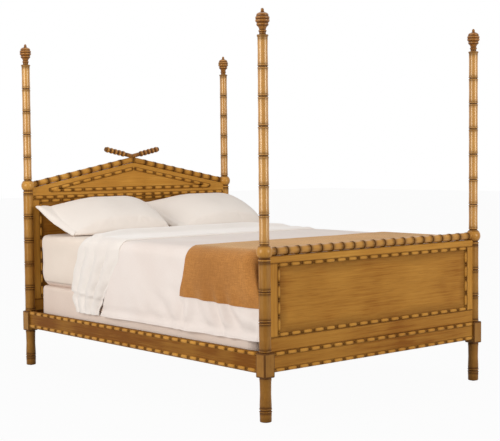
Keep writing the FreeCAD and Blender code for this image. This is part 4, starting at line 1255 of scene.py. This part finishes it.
def buildTopSheet():
    half, bend, top, roll = (turnback[key] for key in ("half", "bend", "top", "roll"))
    wide = 2 * overShoulder(half, bend, turnback["hemDown"])
    long = roll + turnback["rear"] - turnback["front"] + turnback["spare"]

    def placeOf(across, along):
        # It never reaches the foot, so the foot is put far off
        place, away, down, turned = lieOver(across, 0.0, half, foot=-9.0, bend=bend, top=top)
        share = max(0.0, along - roll) / (long - roll)
        front = between(turnback["frontEdge"], down)
        if down == 0:
            sideways = risenAbove(abs(across), turnback["rearSwing"])
            rear = turnback["rear"] + (turnback["rearSide"] - turnback["rear"]) * sideways
            rear += turnback["rearStray"] * ripple(across * 4, 0, 5)
        else:
            rear = between(turnback["rearEdge"], down)
        place.y = front + (rear - front) * share
        shoulder = eased((abs(across) - (half - bend) + turnback["shoulderIn"]) / turnback["shoulderWide"])
        fold = turnbackFold(share, down, across, shoulder)
        ridge = turnbackRidge(share, across, shoulder)
        if away.z > 0.99:
            place.z += ridge + fold * shoulder
        else:
            bulge = turnback["bulge"] * eased(down / turnback["bulgeDrop"])
            bulge *= math.sin(math.pi * min(1.0, share))
            place += away * (ridge * (1 - eased(down / 0.1)) * 0.6 + fold + bulge)
        if along < roll:
            # The front edge is rolled under
            turn = math.pi * (1 - along / roll)
            lift = turnback["rollLift"]
            place += away * (-lift * (1 - math.cos(turn))) + Vector((0, -lift * math.sin(turn), 0))
            place.y += max(0.0, turn - math.pi / 2) * turnback["rollIn"]
        return place

    sheet = clothSheet("turnedBackSheet", turnback["columns"], turnback["rows"], (wide, long), placeOf)
    thickened(sheet, turnback["thick"])
    dressed(sheet, sheetCotton, "mattress", "top_sheet")
    area = clothArea(sheet)
    flat = (wide, max(long, area / wide * 1.002))


pillowForm = {
    "wide": 785 * mm, "deep": 470 * mm, "columns": 92, "rows": 58, "caseThick": 9 * mm, "fill": 0.6,
    "flap": 44 * mm, "slack": 95 * mm, "crown": 84 * mm, "frames": 16, "reach": 15 * mm,
    "rise": 112 * mm, "sag": 96 * mm,
    # Lying: how far the back edge is above the front one, and the clearances to the box of its solid
    "leanUp": 168 * mm, "lift": 8 * mm, "endGap": 2 * mm, "edgeGap": 3 * mm, "floorGap": 0.4 * mm,
    "topGap": 0.5 * mm, "settle": 10 * mm,
    # The layers' own unevenness, and where the filling starts; the open end narrows and sinks
    "uneven": 1.5 * mm, "fillStart": 30 * mm,
    "narrow": 0.14, "cornerBack": {"open": 55 * mm, "sewn": 12 * mm},
    "openForward": 30 * mm, "openDown": 20 * mm,
}
fillingCloth = {
    "quality": 6, "mass": 0.3, "tension_stiffness": 22, "compression_stiffness": 22, "shear_stiffness": 6,
    "bending_stiffness": 0.25, "use_pressure": True, "uniform_pressure_force": 3.5,
    "vertex_group_pressure": "filled",
}


def pillowBlank(name):
    # Two layers of cloth sewn round; the open case end is left without filling
    deselectAll()
    columns, rows = pillowForm["columns"], pillowForm["rows"]
    bpy.ops.mesh.primitive_grid_add(x_subdivisions=columns, y_subdivisions=rows, size=1)
    blank = bpy.context.active_object
    blank.scale = (pillowForm["wide"], pillowForm["deep"], 1)
    applied(settled(blank), "SOLIDIFY", thickness=pillowForm["caseThick"], offset=0.0)
    blank.name = blank.data.name = name
    filled = blank.vertex_groups.new(name="filled")
    start = pillowForm["flap"] - pillowForm["wide"] / 2
    for vertex in blank.data.vertices:
        filled.add([vertex.index], eased((vertex.co.x - start) / pillowForm["fillStart"]), "REPLACE")
        vertex.co.z += pillowForm["uneven"] * ripple(vertex.co.x * 9, vertex.co.y * 9, len(name))
    return blank


def crowned(blank):
    # The filling's form: full in the middle and at the sewn end, slack at the open end
    wide, deep = pillowForm["wide"], pillowForm["deep"]
    for vertex in blank.data.vertices:
        flap = pillowForm["flap"] + pillowForm["slack"] * max(0.0, vertex.co.y / deep + 0.3) ** 1.4
        across = (vertex.co.x - flap / 2) / ((wide - flap) / 2)
        power, slope = (1.7, 0.9) if across < 0 else (4.2, 0.64)
        along = min(1.0, abs(vertex.co.y) / deep * 2)
        crown = (1 - min(1.0, abs(across)) ** power) ** slope * (1 - along ** 2.4) ** 0.64
        vertex.co.z += math.copysign(pillowForm["crown"] * crown, vertex.co.z)
    return blank


def puffed(blank):
    # The cloth puckers and settles under the filling's pressure
    before = [vertex.co.copy() for vertex in blank.data.vertices]
    pick(blank)
    cloth = blank.modifiers.new("Filling", "CLOTH")
    for key, value in fillingCloth.items():
        setattr(cloth.settings, key, value)
    cloth.settings.effector_weights.gravity = 0
    cloth.collision_settings.use_collision = False
    cloth.point_cache.frame_start, cloth.point_cache.frame_end = 1, pillowForm["frames"]
    for number in range(1, pillowForm["frames"] + 1):
        bpy.context.scene.frame_set(number)
    pick(blank)
    bpy.ops.object.modifier_apply(modifier="Filling")
    bpy.context.scene.frame_set(1)
    for vertex, start in zip(blank.data.vertices, before):
        step = vertex.co - start
        vertex.co = start + step * min(1.0, pillowForm["reach"] / max(step.length, 1e-9))
    return blank


def leanPillow(pillow, node, turnOver):
    # Lays the filled pillow on the mattress with its back edge up against the headboard
    low, high = nodeBox(node)
    points = [vertex.co.copy() for vertex in pillow.data.vertices]
    spans = [max(abs(point[axis]) for point in points) for axis in range(3)]
    middle, half = (low.x + high.x) / 2, (high.x - low.x) / 2 - pillowForm["endGap"]
    front, back = low.y + pillowForm["edgeGap"], high.y - pillowForm["edgeGap"]
    chord = Vector((0, back - front, pillowForm["leanUp"])).normalized()
    upward = Vector((0, -chord.z, chord.y))
    floor, settle = low.z + pillowForm["floorGap"], pillowForm["settle"]
    for vertex, point in zip(pillow.data.vertices, points):
        across, along, height = (value / span for value, span in zip(point, spans))
        if turnOver:
            along, height = -along, -height
        share, openEnd = (along + 1) / 2, max(0.0, -across)
        lift = height * pillowForm["rise" if height > 0 else "sag"]
        up = low.z + pillowForm["lift"] + pillowForm["leanUp"] * share
        place = Vector((0, front + (back - front) * share, up))
        cornerBack = pillowForm["cornerBack"]["open" if across < 0 else "sewn"]
        place.y += cornerBack * abs(across) ** 3 * (1 - share) ** 1.5
        place.y -= pillowForm["openForward"] * openEnd ** 3 * share
        place.z -= pillowForm["openDown"] * openEnd ** 2 * math.sin(math.pi * share)
        place += upward * lift
        place.x = middle + across * half * (1 - pillowForm["narrow"] * (1 - share) * (across < 0))
        # It settles softly on the mattress and against the headboard
        if place.z < floor + settle:
            place.z = floor + settle * math.exp((place.z - floor - settle) / settle)
        if place.y > back:
            place.y = back + 2 * mm * (1 - math.exp((back - place.y) / (12 * mm)))
        place.z = min(place.z, high.z - pillowForm["topGap"])
        vertex.co = place
    return pillow


def buildPillows():
    for side in sides:
        pillow = crowned(pillowBlank(f"pillow_{side}_filled"))
        puffed(pillow)
        leanPillow(pillow, f"pillow_{side}", side == "right")
        smoothed(applied(pillow, "SUBSURF", levels=1, render_levels=1), "cloth")
        dressed(pillow, pillowCotton, f"pillow_{side}", f"pillow_{side}")


buildMattress()
buildCoverlet()
buildTopSheet()
buildThrow()
print("cloth laid")
buildPillows()
print("pillows filled")


# Studio

studio = {
    "white": (1.0, 1.0, 1.0, 1.0), "floorSide": 60, "floorGrey": (0.36, 0.36, 0.36, 1.0), "floorRough": 0.9,
    # Share of the floor that the camera sees as pure white, and the light that the backdrop gives
    "floorSeen": 0.96, "backdropLight": 0.36,
    "position": (-4.568, -5.401, 1.287), "yaw": 40.676, "pitch": 3.037, "roll": 0.521,
    "focal": 1187.7, "frameWide": 500, "sensor": 36.0, "farthest": 100,
    # Place, what it points at, width, height, power
    "softboxes": {
        "left": ((-5.7, -0.4, 2.0), (0, 0, 1.0), 2.7, 3.2, 200),
        "right": ((1.3, -6.5, 2.1), (0, 0, 1.0), 2.5, 3.2, 186),
        "top": ((0, 0.4, 5.0), (0, 0.2, 0.8), 3.0, 3.6, 50),
    },
}


def placeCamera():
    yaw, pitch, roll = (math.radians(studio[key]) for key in ("yaw", "pitch", "roll"))
    forward = Vector((math.sin(yaw) * math.cos(pitch), math.cos(yaw) * math.cos(pitch), -math.sin(pitch)))
    level = Vector((math.cos(yaw), -math.sin(yaw), 0))
    down = forward.cross(level)
    right = math.cos(roll) * level + math.sin(roll) * down
    upward = math.sin(roll) * level - math.cos(roll) * down
    lens = bpy.data.cameras.new("studioCamera")
    lens.sensor_width = studio["sensor"]
    lens.lens = studio["focal"] / studio["frameWide"] * studio["sensor"]
    lens.clip_end = studio["farthest"]
    camera = bpy.data.objects.new("studioCamera", lens)
    bpy.context.collection.objects.link(camera)
    turned = Matrix((right, upward, -forward)).transposed().to_4x4()
    camera.matrix_world = Matrix.Translation(studio["position"]) @ turned
    bpy.context.scene.camera = camera


def seenDirectly(tree):
    # 1 for what the camera, a reflection or a glass sees of the backdrop, 0 for the light it gives
    rays = addNode(tree, "ShaderNodeLightPath")
    glossy, clear = (Wire(tree, rays.socket.node.outputs[kind])
                     for kind in ("Is Glossy Ray", "Is Transmission Ray"))
    return rays.most(glossy).most(clear)


def softbox(name, place, aim, wide, tall, power):
    lamp = bpy.data.lights.new(name, "AREA")
    lamp.shape, lamp.size, lamp.size_y, lamp.energy = "RECTANGLE", wide, tall, power
    holder = bpy.data.objects.new(name, lamp)
    bpy.context.collection.objects.link(holder)
    holder.location = place
    holder.rotation_euler = (Vector(aim) - Vector(place)).to_track_quat("-Z", "Y").to_euler()


def paleFloor():
    deselectAll()
    bpy.ops.mesh.primitive_plane_add(size=studio["floorSide"], location=(0, 0, 0))
    floor = bpy.context.active_object
    floor.name = floor.data.name = "studioFloor"
    material = bpy.data.materials.new("paleFloor")
    material.use_nodes = True
    tree = material.node_tree
    shader = tree.nodes["Principled BSDF"]
    shader.inputs["Base Color"].default_value = studio["floorGrey"]
    shader.inputs["Roughness"].default_value = studio["floorRough"]
    glow = addNode(tree, "ShaderNodeEmission", None, {"Color": studio["white"], "Strength": 1.0})
    mixed = addNode(tree, "ShaderNodeMixShader", None,
                    {0: seenDirectly(tree) * studio["floorSeen"], 1: Wire(tree, shader.outputs[0]), 2: glow})
    tree.links.new(mixed.socket, tree.nodes["Material Output"].inputs["Surface"])
    floor.data.materials.append(material)


def whiteBackdrop():
    world = bpy.data.worlds.new("studioWorld")
    bpy.context.scene.world = world
    world.use_nodes = True
    sky = world.node_tree.nodes["Background"]
    sky.inputs["Color"].default_value = studio["white"]
    strength = seenDirectly(world.node_tree).spread(0.0, 1.0, studio["backdropLight"], 1.0)
    world.node_tree.links.new(strength.socket, sky.inputs["Strength"])


placeCamera()
paleFloor()
whiteBackdrop()
for name, look in studio["softboxes"].items():
    softbox(f"{name}Softbox", *look)
bpy.context.scene.view_settings.view_transform = "Standard"
print("studio lit")
